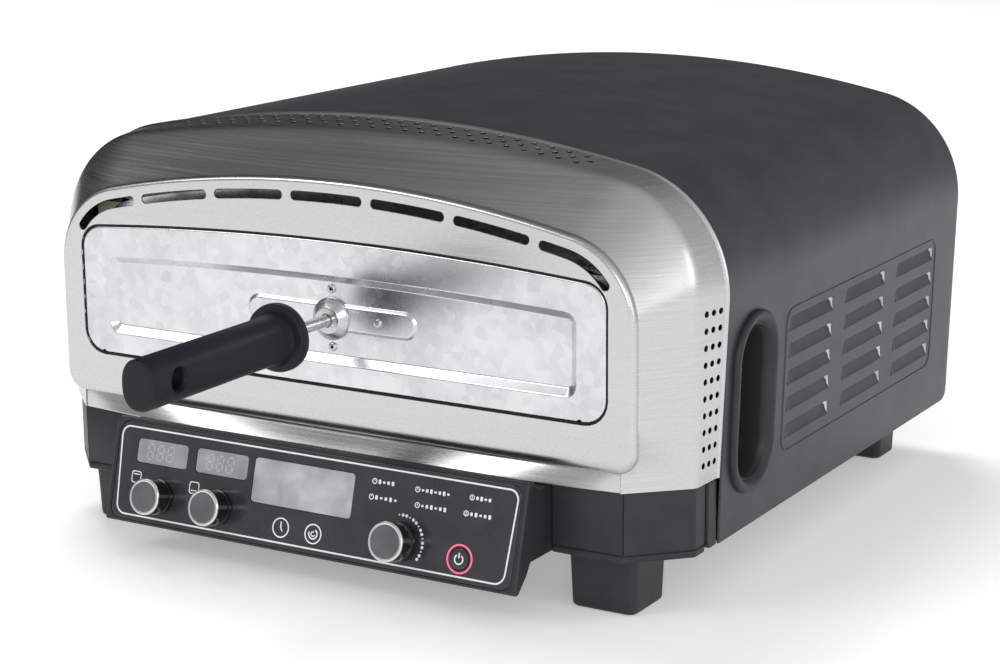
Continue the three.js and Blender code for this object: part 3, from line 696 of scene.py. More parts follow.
class Finish(Enum):
    """Every finish of the oven, made on first use."""

    BRUSHED = BrushedSteel()
    SATIN_STEEL = BrushedSteel(
        "satin_steel", (0.50, 0.50, 0.51), (0.60, 0.60, 0.61), (0.22, 0.32), (500, 500, 500)
    )
    SPANGLE = SpangledSheet()
    COATED = PowderCoat()
    DARK_STEEL = Moulded("dark_steel", (0.16, 0.165, 0.17), (0.4, 0.55), metal=0.9)
    CHARCOAL = Moulded("charcoal_plastic", (0.019, 0.021, 0.023), (0.42, 0.52), shine=0.4)
    GLOSS_CHARCOAL = Moulded(
        "glossy_charcoal_trim", (0.010, 0.011, 0.012), (0.24, 0.32), depth=0.01, shine=0.3
    )
    GRIP = Moulded(
        "soft_grip_plastic", (0.006, 0.009, 0.013), (0.44, 0.54), grain=1100.0, shine=0.28
    )
    PANEL = Moulded(
        "gloss_panel_film", (0.030, 0.031, 0.036), (0.16, 0.28), grain=500.0, depth=0.02, coat=0.4
    )
    KNOB = Moulded("gloss_black_knob", (0.006, 0.006, 0.007), (0.14, 0.2), depth=0.008, coat=0.3)
    KNOB_FACE = Moulded("knob_face_grey", (0.17, 0.175, 0.18), (0.3, 0.42), metal=0.7)
    SILVER = Moulded(
        "silver_ring", (0.86, 0.86, 0.87), (0.12, 0.2), depth=0.01, metal=0.9, shift=0.05
    )
    GLASS_GREY = Moulded(
        "display_glass", (0.30, 0.315, 0.32), (0.1, 0.22), grain=220.0, depth=0.0, coat=0.5,
        shift=0.22
    )
    BRIGHT_GLASS = Moulded(
        "wide_display_glass", (0.42, 0.435, 0.44), (0.1, 0.22), grain=220.0, depth=0.0, coat=0.5,
        shift=0.25
    )
    COATED_BACK = PowderCoat(
        "rear_powder_coat", (0.031, 0.035, 0.040), (0.039, 0.043, 0.049), (0.42, 0.5)
    )
    # Brighter, more metallic coat that paints the highlight on the louvre scoops' far end walls.
    PRESSED_EDGE = Moulded(
        "painted_highlight_coat", (0.52, 0.53, 0.57), (0.26, 0.34), metal=0.6, depth=0.01
    )
    GHOST = Moulded("display_segments", (0.42, 0.44, 0.445), (0.3, 0.4), depth=0.0, shift=0.08)
    PRINT = Moulded("white_print", (0.82, 0.83, 0.84), (0.4, 0.5), depth=0.0, shift=0.05)
    POWER_RING = Lit("power_ring_light", (0.85, 0.12, 0.20), 0.7)
    BOARD = Moulded("green_circuit_board", (0.015, 0.12, 0.045), (0.3, 0.4))
    BRASS = Moulded("turned_brass", (0.62, 0.45, 0.17), (0.25, 0.35), metal=1.0)
    STONE = Moulded(
        "fired_stone", (0.58, 0.49, 0.36), (0.8, 0.95), grain=380.0, depth=0.25, shift=0.12
    )
    WOOL = Moulded(
        "mineral_wool", (0.24, 0.24, 0.23), (0.9, 1.0), grain=260.0, depth=1.2, shift=0.25
    )
    SHEATH = Moulded("heater_sheath", (0.17, 0.16, 0.155), (0.35, 0.5), metal=0.8)
    # Near-black matte finish, used only for the strip of painted shade in the door gap.
    RUBBER = Moulded("painted_gap_shade", (0.008, 0.008, 0.009), (0.7, 0.85), depth=0.08)
    # Near-black finish, used only for the painted shade deep in the grip recesses.
    DARK = Moulded("painted_recess_shade", (0.006, 0.0065, 0.007), (0.6, 0.8))

    def material(self) -> bpy.types.Material:
        """The finish's material."""
        return bpy.data.materials.get(self.value.name) or self.value.make()


def dress(
    obj: Object, finish: Finish, body: Body, stands_for: Sequence[str] = ()
) -> Object:
    """Gives a new piece its finish, its body and the nodes that it stands for.

    Args:
        obj: the finished mesh object.
        finish: the finish all over it, or of its first slot.
        body: the body that it moves with.
        stands_for: nodes of the frame that it replaces.

    Returns:
        The same object.
    """
    if not obj.data.materials:
        obj.data.materials.append(finish.material())
    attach(obj, body.value)
    if stands_for:
        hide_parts(*stands_for)
    log.info("%-26s %6d faces, rides on %s", obj.name, len(obj.data.polygons), body.value)
    return obj


def coat_node(frame: dict, node: str, finish: Finish) -> None:
    """Gives a node of the frame a better material."""
    obj = frame["nodes"][node]
    obj.data.materials.clear()
    obj.data.materials.append(finish.material())
    log.info("%-26s keeps its shape, finish %s", node, finish.value.name)


# --------------------------------------------------------------- turned forms


def turned(name: str, profile: Sequence[Flat],
           at: Callable[[float, float, float], Point], sides: int = 32,
           closed: bool = True) -> Object:
    """Skins rings of given radius along an axis.

    Args:
        name: the object's name.
        profile: (distance along the axis, radius) from one end to the other.
        at: gives the point for two offsets across the axis and one along it.
        sides: the number of sides.
        closed: whether both ends are filled.

    Returns:
        The turned piece.
    """
    rings = [
        [at(a, b, along) for a, b in circle((0, 0), radius, sides)] for along, radius in profile
    ]
    return skin(name, rings, cap_start=closed, cap_end=closed)


def depth_axis(x: float, z: float) -> Callable[[float, float, float], Point]:
    """Places a turned piece about an axis along Y through (x, z), in depths behind the face."""
    return lambda a, b, along: (x + a, FACE_Y + along, z + b)


@dataclass(frozen=True)
class PanelPlane:
    """The leaning control panel: u runs right, v down its face and h out of it."""

    y: float = -148.0
    z: float = 76.3
    sin: float = 0.267
    cos: float = 0.9637

    def at(self, u: float, v: float, h: float) -> Point:
        """The point at a place on the panel, in millimetres."""
        return (u, self.y - v * self.sin - h * self.cos, self.z - v * self.cos + h * self.sin)

    def ring(self, outline: Sequence[Flat], h: float) -> list[Point]:
        """An outline laid at one height over the panel."""
        return [self.at(u, v, h) for u, v in outline]

    def plate(self, name: str, outline: Sequence[Flat], low: float, high: float) -> Object:
        """A flat plate between two heights over the panel."""
        return skin(
            name, [self.ring(outline, low), self.ring(outline, high)], cap_start=True, cap_end=True
        )

    def band(
        self, name: str, outer: Sequence[Flat], inner: Sequence[Flat], height: float
    ) -> Object:
        """A printed line between two outlines, closed all round."""
        rings = [
            self.ring(outer, -0.02), self.ring(outer, height), self.ring(inner, height),
            self.ring(inner, -0.02), self.ring(outer, -0.02),
        ]
        band = skin(name, rings)
        with editing(band):
            bpy.ops.mesh.remove_doubles(threshold=1e-7)
            bpy.ops.mesh.normals_make_consistent(inside=False)
        return band

    def axis(self, u: float, v: float) -> Callable[[float, float, float], Point]:
        """Places a turned piece that stands on the panel."""
        return lambda a, b, along: self.at(u + a, v + b, along)


PLANE = PanelPlane()


# ---------------------------------------------------------------------- bezel


@dataclass
class FrontBezel:
    """Brushed steel front: raised plate, chamfered ring, perforated flange and bowed lip."""

    wall: float = 1.2
    step: float = 5.0
    crease: float = 34.0
    bottom: float = 75.4
    plate_bottom: float = 87.0
    roll: float = 3.0
    corner: float = 12.0
    lip_half: float = 192.5
    lip_bow: float = 11.0
    slot_inset: float = 7.8
    slot_height: float = 5.6
    slot_gap: float = 6.2
    slot_span: float = 392.0
    slot_count: int = 7
    hole_radius: float = 1.9
    hole_rows: tuple[float, ...] = (41.5, 47.8, 54.1)

    def build(self) -> None:
        """Builds the four parts and joins them in place of the plain bezel."""
        bezel = join("bezel_brushed_front", [self.plate(), self.ring(), self.lip()])
        smooth(bezel, 32)
        dress(bezel, Finish.BRUSHED, Body.OVEN, ["front_bezel"])
        # Builds the plate, ring and lip, joins them in place of the plain bezel, and adds the dark
        # strip of painted shade in the door gap.
        self.gap_shade_strip()

    def gap_shade_strip(self) -> None:
        """Thin dark strip standing in the gap round the door, clear of its edge: painted shade in
        the gap, not a real heat seal.
        """
        rings = []
        for grown, y in ((1.25, 8.0), (1.25, 1.1), (0.9, 0.8), (0.35, 0.8), (0.2, 1.1), (0.2, 8.0)):
            outline = DoorLeaf.section.drawn(-grown).closed(114.4 - grown, 14 + grown, 10, 16)
            rings.append(upright(outline, FACE_Y + y))
        # A dark strip of painted shade that fills the door gap.
        gap_shade_strip = skin("door_gap_painted_shade", rings)
        smooth(gap_shade_strip, 40)
        dress(gap_shade_strip, Finish.RUBBER, Body.OVEN)

    def plate(self) -> Object:
        """The raised plate with its rolled rim, door opening and vent slots."""
        rings = []
        for k in range(7):
            turn = math.radians(15 * k)
            inset = self.roll * (1 - math.sin(turn))
            outline = PLATEAU.drawn(inset).closed(
                self.plate_bottom + 2.2 * inset, self.corner - inset, 16, 26
            )
            rings.append(upright(outline, FACE_Y + self.roll * (1 - math.cos(turn))))
        rings.append(upright(
            PLATEAU.closed(self.plate_bottom, self.corner, 16, 26), FACE_Y + self.step + 1.4
        ))
        plate = skin("bezel_plate", rings, cap_start=True)
        thicken(plate, self.wall)
        opening = DoorLeaf.section.drawn(-1.3).closed(113.1, 15.3, 10, 16)
        cutters = [prism("opening", upright(opening, FACE_Y - 3), (0, 8, 0))]
        cutters += [prism("slot", upright(s, FACE_Y - 3), (0, 7, 0)) for s in self.slots()]
        carve(plate, cutters)
        round_edges(plate, 0.45, 2, 60)
        return plate

    def slots(self) -> list[list[Flat]]:
        """Outlines of the vent slots that follow the plate's rim."""
        line = PLATEAU.drawn(self.slot_inset + self.slot_height / 2).outline(130, [], 40, 80)
        line.reverse()
        lengths = [0.0]
        for a, b in zip(line, line[1:]):
            lengths.append(lengths[-1] + math.dist(a, b))

        def at(s: float, off: float) -> Flat:
            """The point at a length along the rim, moved across it."""
            i = next(k for k, length in enumerate(lengths) if k and length >= s)
            share = (s - lengths[i - 1]) / (lengths[i] - lengths[i - 1])
            (x0, z0), (x1, z1) = line[i - 1], line[i]
            size = math.dist(line[i - 1], line[i])
            normal = (-(z1 - z0) / size, (x1 - x0) / size)
            return (
                x0 + (x1 - x0) * share + normal[0] * off, z0 + (z1 - z0) * share + normal[1] * off
            )

        pitch = self.slot_span / self.slot_count
        reach = (pitch - self.slot_gap) / 2
        end = self.slot_height / 2
        outlines = []
        for n in range(self.slot_count):
            middle = lengths[-1] / 2 + (n - (self.slot_count - 1) / 2) * pitch
            steps = [(reach - end) * (k / 8 - 1) for k in range(17)]
            upper = [at(middle + s, end) for s in steps]
            tip = [
                at(middle + reach - end + end * math.sin(t), end * math.cos(t))
                for t in self.half_turn()
            ]
            lower = [at(middle + s, -end) for s in reversed(steps)]
            tail = [
                at(middle - reach + end - end * math.sin(t), -end * math.cos(t))
                for t in self.half_turn()
            ]
            outlines.append(upper + tip + lower + tail)
        return outlines

    @staticmethod
    def half_turn() -> list[float]:
        """Angles between the two ends of a half circle."""
        return [math.pi * k / 8 for k in range(1, 8)]

    def stations(self) -> list[tuple[float, Arch]]:
        """Depths and sections of the ring from the plate back to its rear bead."""
        front = replace(PLATEAU, foot=self.lip_half, knee=88.0, blend=112.0)
        before, bend = front.mixed(CREASE, 0.9), CREASE
        after = CREASE.mixed(FLANGE, 0.12)
        rows = [(self.step - 1.0, front.drawn(0.8)), (self.step, front)]
        rows += [(self.step + 29 * t, front.mixed(CREASE, t)) for t in (0.05, 0.3, 0.6, 0.85)]
        for k in range(6):
            t = k / 5
            y = (1 - t) ** 2 * 31.1 + 2 * t * (1 - t) * self.crease + t * t * 37.2
            rows.append((y, before.mixed(bend, t).mixed(bend.mixed(after, t), t)))
        rows += [(y, CREASE.mixed(FLANGE, (y - 34) / 26.8)) for y in (42.0, 50.0, 57.4)]
        bead = (
            (58.0, 0.15), (58.5, 0.6), (59.1, 0.95), (59.8, 0.9), (60.35, 0.4), (60.6, -0.4),
            (60.6, -2.5)
        )
        return rows + [(y, FLANGE.drawn(-grown)) for y, grown in bead]

    def ring(self) -> Object:
        """Chamfer, crease, flange and rear bead as one wrapped sheet."""
        levels = [82, 88, 96, 104, 112, 135, 158]
        lines = [(y, arch.outline(self.bottom, levels, 18, 40)) for y, arch in self.stations()]
        ring = sheet(
            "bezel_ring", len(lines[0][1]) - 1, len(lines) - 1,
            lambda c, r: (lines[r][1][c][0], FACE_Y + lines[r][0], lines[r][1][c][1]),
        )
        thicken(ring, 0.5)
        carve(ring, self.punches())
        return ring

    def punches(self) -> list[Object]:
        """Round punches for the holes in both sides and the top of the flange."""
        one = drum("punch", (0, 0, 0), self.hole_radius, 14, (1, 0, 0), 12)
        places = []
        for n in range(10):
            for side in Side:
                places += [(side.value * 226.5, FACE_Y + y, 86.5 + 9.7 * n) for y in self.hole_rows]
        punches = [copy_of(one, "punch", Matrix.Translation(Vector(p) * MM)) for p in places]
        up = drum("punch", (0, 0, 0), self.hole_radius, 14, (0, 0, 1), 12)
        for row, y in enumerate(self.hole_rows):
            for n in range(26):
                x = -142 + 11.4 * n + 5.7 * (row % 2)
                z = FLANGE.crown - FLANGE.radius + math.sqrt(FLANGE.radius**2 - x * x) - 1.5
                punches.append(
                    copy_of(up, "punch", Matrix.Translation(Vector((x, FACE_Y + y, z)) * MM))
                )
        for spare in (one, up):
            bpy.data.objects.remove(spare)
        return punches

    def lip(self) -> Object:
        """The bright lip under the plate, bowed forward, with a small fold."""
        rows = [
            (88.2, 0.0, 0.6), (86.6, 0.12, 0.4), (84, 0.34, 0.1), (80.5, 0.62, 0), (77.2, 0.9, 0),
            (76.0, 0.98, 0)
        ]
        rows += [(75.5, 1.0, 0.3), (75.4, 1.0, 1.0), (75.6, 1.0, 4.0)]

        def place(column: int, row: int) -> Point:
            """A point of the bowed sheet."""
            x = self.lip_half * (column / 30 - 1)
            z, share, back = rows[row]
            return (
                x,
                FACE_Y + self.step - self.lip_bow * (1 - (x / self.lip_half) ** 2) * share + back, z
            )

        lip = sheet("bezel_lip", 60, len(rows) - 1, place)
        thicken(lip, 0.8)
        return lip


# --------------------------------------------------------------------- casing


@dataclass
class Casing:
    """Coated wrap with pressed louvres, an embossed frame and hand holes."""

    louvre_starts: tuple[float, ...] = (149.0, 234.5, 320.0)
    louvre_length: float = 64.0
    louvre_rows: tuple[float, ...] = (147.5, 131.0, 114.5, 98.0, 81.5)
    louvre_depth: float = 3.2
    louvre_end: float = 4.6
    louvre_above: float = 3.6
    louvre_height: float = 9.0
    hand_y: float = 99.0
    hand_z: float = 111.0

    def build(self) -> None:
        """Builds the wrap with everything pressed into it."""
        shell = self.shell()
        thicken(shell, 1.0)
        shell.data.materials.append(Finish.COATED.material())
        carve(shell, self.cutters())
        scoops = self.scoops()
        frames = [self.frame()]
        frames.append(mirrored(frames[0], "casing_bead_left"))
        casing = join("casing_coated_wrap", [shell, *scoops, *frames])
        smooth(casing, 35)
        dress(casing, Finish.COATED, Body.OVEN, ["outer_casing"])

    def shell(self) -> Object:
        """The wrap from its rolled front edge to its hemmed rear edge."""
        rows = [
            (61.4, 1.4), (61.4, 0.9), (61.6, 0.4), (62.0, 0.1), (62.8, 0.0), (110.0, 0.0),
            (180.0, 0.0)
        ]
        rows += [
            (250.0, 0.0), (320.0, 0.0), (390.0, 0.0), (419.0, 0.0), (422.0, 0.0), (425.0, 0.0),
            (427.5, 0.0)
        ]
        rows += [(428.9, 0.1), (429.6, 0.45), (430.0, 1.1), (430.0, 1.6), (427.0, 1.7)]
        levels = [60, 72, 90, 108, 126, 144, 160]
        lines = []
        for y, inset in rows:
            over = max(0.0, y - 420.0)
            foot = CASING_FOOT + 10 - math.sqrt(max(0.0, 100 - over * over))
            section = casing_section(FACE_Y + y).drawn(inset)
            lines.append((FACE_Y + y, section.outline(foot, levels, 22, 44)))
        return sheet(
            "casing_shell", len(lines[0][1]) - 1, len(lines) - 1,
            lambda c, r: (lines[r][1][c][0], lines[r][0], lines[r][1][c][1]),
        )

    def cutters(self) -> list[Object]:
        """Cutters for the louvre slots and the hand holes of both sides."""
        cutters = []
        hole = rounded_box((FACE_Y + self.hand_y, self.hand_z), (42, 92), 20.9, 8)
        for side in Side:
            near = side.value * 215
            cutters.append(prism("hand", [(near, y, z) for y, z in hole], (side.value * 30, 0, 0)))
            for start in self.louvre_starts:
                for z in self.louvre_rows:
                    middle = (
                        FACE_Y + start + self.louvre_length / 2,
                        z + self.louvre_above - self.louvre_height / 2
                    )
                    outline = rounded_box(middle, (self.louvre_length, self.louvre_height), 2.6, 4)
                    cutters.append(
                        prism("louvre", [(near, y, h) for y, h in outline], (side.value * 30, 0, 0))
                    )
        return cutters

    def scoops(self) -> list[Object]:
        """One inward scoop, open along its top edge, copied to every louvre of both sides."""
        start, level = self.louvre_starts[0], self.louvre_rows[0]
        columns, rows = 30, 7

        def place(column: int, row: int) -> Point:
            """A point of the scoop: deep at its top edge, flush at its foot and ends."""
            along = self.louvre_length * self.even_ends(column / columns)
            end = max(0.0, 1 - min(along, self.louvre_length - along) / self.louvre_end)
            z = level + self.louvre_above - self.louvre_height * row / rows
            depth = self.louvre_depth * (1 - row / rows) ** 0.85 * math.sqrt(1 - end * end)
            y = FACE_Y + start + along
            return (casing_x(y, z) - 0.2 - depth, y, z)

        first = sheet("scoop", columns, rows, place)
        thicken(first, 0.8)
        first.data.materials.append(Finish.COATED.material())
        first.data.materials.append(Finish.PRESSED_EDGE.material())
        # Far end walls that face front and right get the brighter coat: a painted highlight.
        for face in first.data.polygons:
            highlight_end = face.center.y / MM > FACE_Y + start + self.louvre_length / 2
            face.material_index = int(highlight_end and face.normal.y < -0.3 and face.normal.x > 0.1)
        right = []
        for y_start in self.louvre_starts:
            for z in self.louvre_rows:
                y0, y1 = FACE_Y + start + 32, FACE_Y + y_start + 32
                shift = (casing_x(y1, z) - casing_x(y0, level), y1 - y0, z - level)
                right.append(copy_of(first, "scoop", Matrix.Translation(Vector(shift) * MM)))
        bpy.data.objects.remove(first)
        return right + [mirrored(scoop, "scoop_left") for scoop in right]

    @staticmethod
    def even_ends(share: float) -> float:
        """Crowds the steps towards both ends."""
        return 0.5 - 0.5 * math.cos(math.pi * share)

    def frame(self) -> Object:
        """Low pressed bead round the louvre field."""
        rings = []
        for grow, rise in (
            (-0.9, -0.2), (-0.6, 0.3), (-0.2, 0.5), (0.2, 0.5), (0.6, 0.3), (0.9, -0.2)
        ):
            outline = rounded_box(
                (FACE_Y + 267, 112), (246 + 2 * grow, 88 + 2 * grow), 9 + grow, 6, 12
            )
            rings.append([(casing_x(y, z) + rise, y, z) for y, z in outline])
        bead = skin("casing_bead", rings)
        bead.data.materials.append(Finish.COATED.material())
        return bead


@dataclass
class SideGrips:
    """Oval hand grips with a rounded rim and a deep recess, whose inner faces are painted near
    black as shade.
    """

    y: float = 99.0
    z: float = 111.0
    shade_from: float = 2.2

    def build(self) -> None:
        """Builds the right grip and copies it to the left."""
        profile = [
            (57, 109, -0.4), (57.2, 109.2, 0.8), (56.6, 108.6, 2.3), (54.6, 106.6, 3.3),
            (51.5, 103.5, 3.6),
            (47.5, 99.5, 3.1), (43.5, 95.5, 1.7), (40.4, 92.2, -0.4), (38.2, 89.8, -3.5),
            (36.4, 87.6, -9), (34.6, 85, -22),
        ]
        rings = []
        for width, height, rise in profile:
            outline = rounded_box((FACE_Y + self.y, self.z), (width, height), width / 2 - 0.1, 12)
            rings.append([(casing_x(y, z) + rise, y, z) for y, z in outline])
        right = skin("grip_oval_right", rings, cap_end=True)
        thicken(right, 1.0)
        left = mirrored(right, "grip_oval_left")
        for grip, node in ((right, "side_grip_right"), (left, "side_grip_left")):
            smooth(grip, 40)
            grip.data.materials.append(Finish.CHARCOAL.material())
            grip.data.materials.append(Finish.DARK.material())
            # Faces deeper than a set distance behind the casing get the near-black finish: painted
            # shade in the recess.
            for face in grip.data.polygons:
                inner = casing_x(face.center.y / MM, face.center.z / MM) - self.shade_from
                face.material_index = int(abs(face.center.x) / MM < inner)
            dress(grip, Finish.CHARCOAL, Body.OVEN, [node])


# ----------------------------------------------------------------------- door


@dataclass
class DoorLeaf:
    """Lift-off door: pressed outer skin, boss, rod and grip."""

    section = Arch(184.3, 184.3, 201, 14, 2068)
    pan = Arch(166, 166, 181, 8, 3000)
    bottom: float = 114.4
    pan_bottom: float = 127.2
    handle_z: float = 154.0
    hole_y: float = -153.0

    def build(self) -> None:
        """Builds the skin and the whole handle."""
        skin_piece = join("door_pressed_skin", [self.leaf(), self.capsule()])
        smooth(skin_piece, 32)
        dress(skin_piece, Finish.SPANGLE, Body.DOOR, ["door_skin"])
        self.rivets()
        self.boss()
        self.grip()

    def leaf(self) -> Object:
        """The skin with its recessed pan, rolled edge and bend reliefs."""
        def pan(inset: float, y: float) -> list[Point]:
            """A ring of the pan's slope."""
            arch = self.pan.drawn(inset)
            return upright(arch.closed(self.pan_bottom + inset, 8 - inset, 8, 20), FACE_Y + y)

        def edge(inset: float, y: float) -> list[Point]:
            """A ring of the door's edge."""
            arch = self.section.drawn(inset)
            return upright(arch.closed(self.bottom + inset, 14 - inset, 8, 20), FACE_Y + y)

        rings = [
            pan(5.8, 4.1), pan(5.2, 4.02), pan(4.7, 3.75), pan(0.8, 0.72), pan(0.3, 0.4),
            pan(-0.3, 0.3)
        ]
        rings += [edge(1.2, 0.3), edge(0.6, 0.45), edge(0.2, 0.85), edge(0, 1.5), edge(0, 20.0)]
        leaf = skin("door_leaf", rings, cap_start=True)
        thicken(leaf, 0.45)
        notches = [
            drum("notch", (x, FACE_Y + 2, self.bottom), 1.7, 8, (0, 1, 0), 16)
            for x in (-171, 167.6)
        ]
        carve(leaf, [*notches, drum("bore", (0, FACE_Y + 3, self.handle_z), 4.2, 8, (0, 1, 0), 24)])
        return leaf

    def capsule(self) -> Object:
        """The long stiffening press behind the boss."""
        rings = []
        for inset, y in ((0, 4.2), (0.4, 4.0), (1.3, 3.2), (2.0, 2.75), (2.8, 2.6)):
            outline = rounded_box(
                (-0.8, 155), (120.4 - 2 * inset, 17.5 - 2 * inset), 8.7 - inset, 10, 8
            )
            rings.append(upright(outline, FACE_Y + y))
        return skin("door_capsule", rings, cap_end=True)

    def rivets(self) -> None:
        """Four hollow rivets round the boss."""
        profile = [
            (4.2, 2.75), (3.5, 2.75), (3.0, 2.5), (2.7, 1.9), (2.65, 1.15), (3.0, 0.95), (4.1, 0.9)
        ]
        rivets = []
        for x, z, lift in ((0, 172, 0), (0, 137, 0), (33, 155, -1.45), (-33, 155, -1.45)):
            lifted = [(y + lift, radius) for y, radius in profile]
            rivets.append(turned("rivet", lifted, depth_axis(x, z), 20))
        piece = join("door_rivets", rivets)
        smooth(piece, 40)
        dress(piece, Finish.SATIN_STEEL, Body.DOOR)

    def boss(self) -> None:
        """Conical boss and the rod through it."""
        cone = [
            (4.2, 12.9), (2.4, 12.8), (1.5, 12.2), (-0.6, 9.4), (-1.6, 8.3), (-2.0, 7.6),
            (-2.0, 4.3), (-1.2, 3.7)
        ]
        boss = turned("handle_boss", cone, depth_axis(0, self.handle_z), 48)
        smooth(boss, 35)
        dress(boss, Finish.SATIN_STEEL, Body.DOOR, ["handle_collar"])
        shaft = [
            (-62, 3.2), (-61.5, 3.5), (-46.5, 3.5), (-46, 4.6), (-44.2, 4.6), (-43.8, 3.5),
            (28, 3.5), (28.9, 2.9)
        ]
        rod = turned("handle_smooth_rod", shaft, depth_axis(0, self.handle_z), 32)
        smooth(rod, 35)
        dress(rod, Finish.SATIN_STEEL, Body.DOOR, ["handle_rod"])

    def grip(self) -> None:
        """Oval grip with a round guard and a countersunk hanging hole."""
        profile = [
            (-46.2, 17.4, 17.4), (-46.5, 18.8, 18.8), (-47.4, 19.7, 19.7), (-49.6, 20, 20),
            (-52.0, 19.9, 19.9),
            (-53.4, 19.5, 19.5), (-54.0, 18.7, 18.7), (-54.1, 14.0, 16.4), (-55.2, 12.9, 15.6),
            (-58.5, 11.9, 14.9),
            (-66, 11.1, 14.4), (-80, 10.9, 14.3), (-100, 10.9, 14.3), (-125, 11, 14.4),
            (-150, 11, 14.4),
            (-171, 11, 14.4), (-174.4, 10.9, 14.3), (-175.4, 10.5, 13.9), (-175.9, 9.8, 13.2),
            (-176, 8.6, 12.0),
        ]
        rings = []
        for y, half_x, half_z in profile:
            power = 2.0 if y > -54.5 else 2.35
            ring = []
            for k in range(48):
                turn = 2 * math.pi * k / 48
                c, s = math.cos(turn), math.sin(turn)
                x = math.copysign(abs(c) ** (2 / power), c) * half_x
                z = math.copysign(abs(s) ** (2 / power), s) * half_z
                ring.append((x, FACE_Y + y, self.handle_z + z))
            rings.append(ring)
        grip = skin("handle_long_grip", rings, cap_start=True, cap_end=True)
        cut = [(-14, 9.4), (-8.0, 6.2), (-7.2, 6.0), (7.2, 6.0), (8.0, 6.2), (14, 9.4)]
        bore = turned(
            "bore", cut, lambda a, b, along: (along, FACE_Y + self.hole_y + a, self.handle_z + b),
            36
        )
        carve(grip, [bore])
        smooth(grip, 38)
        dress(grip, Finish.GRIP, Body.DOOR, ["handle_grip"])


# ------------------------------------------------------------------- controls


@dataclass(frozen=True)
class KnobSeat:
    """Where a knob stands and what it rides on."""

    name: str
    u: float
    radius: float
    base: float
    height: float
    body: Body
    v: float = 40.0


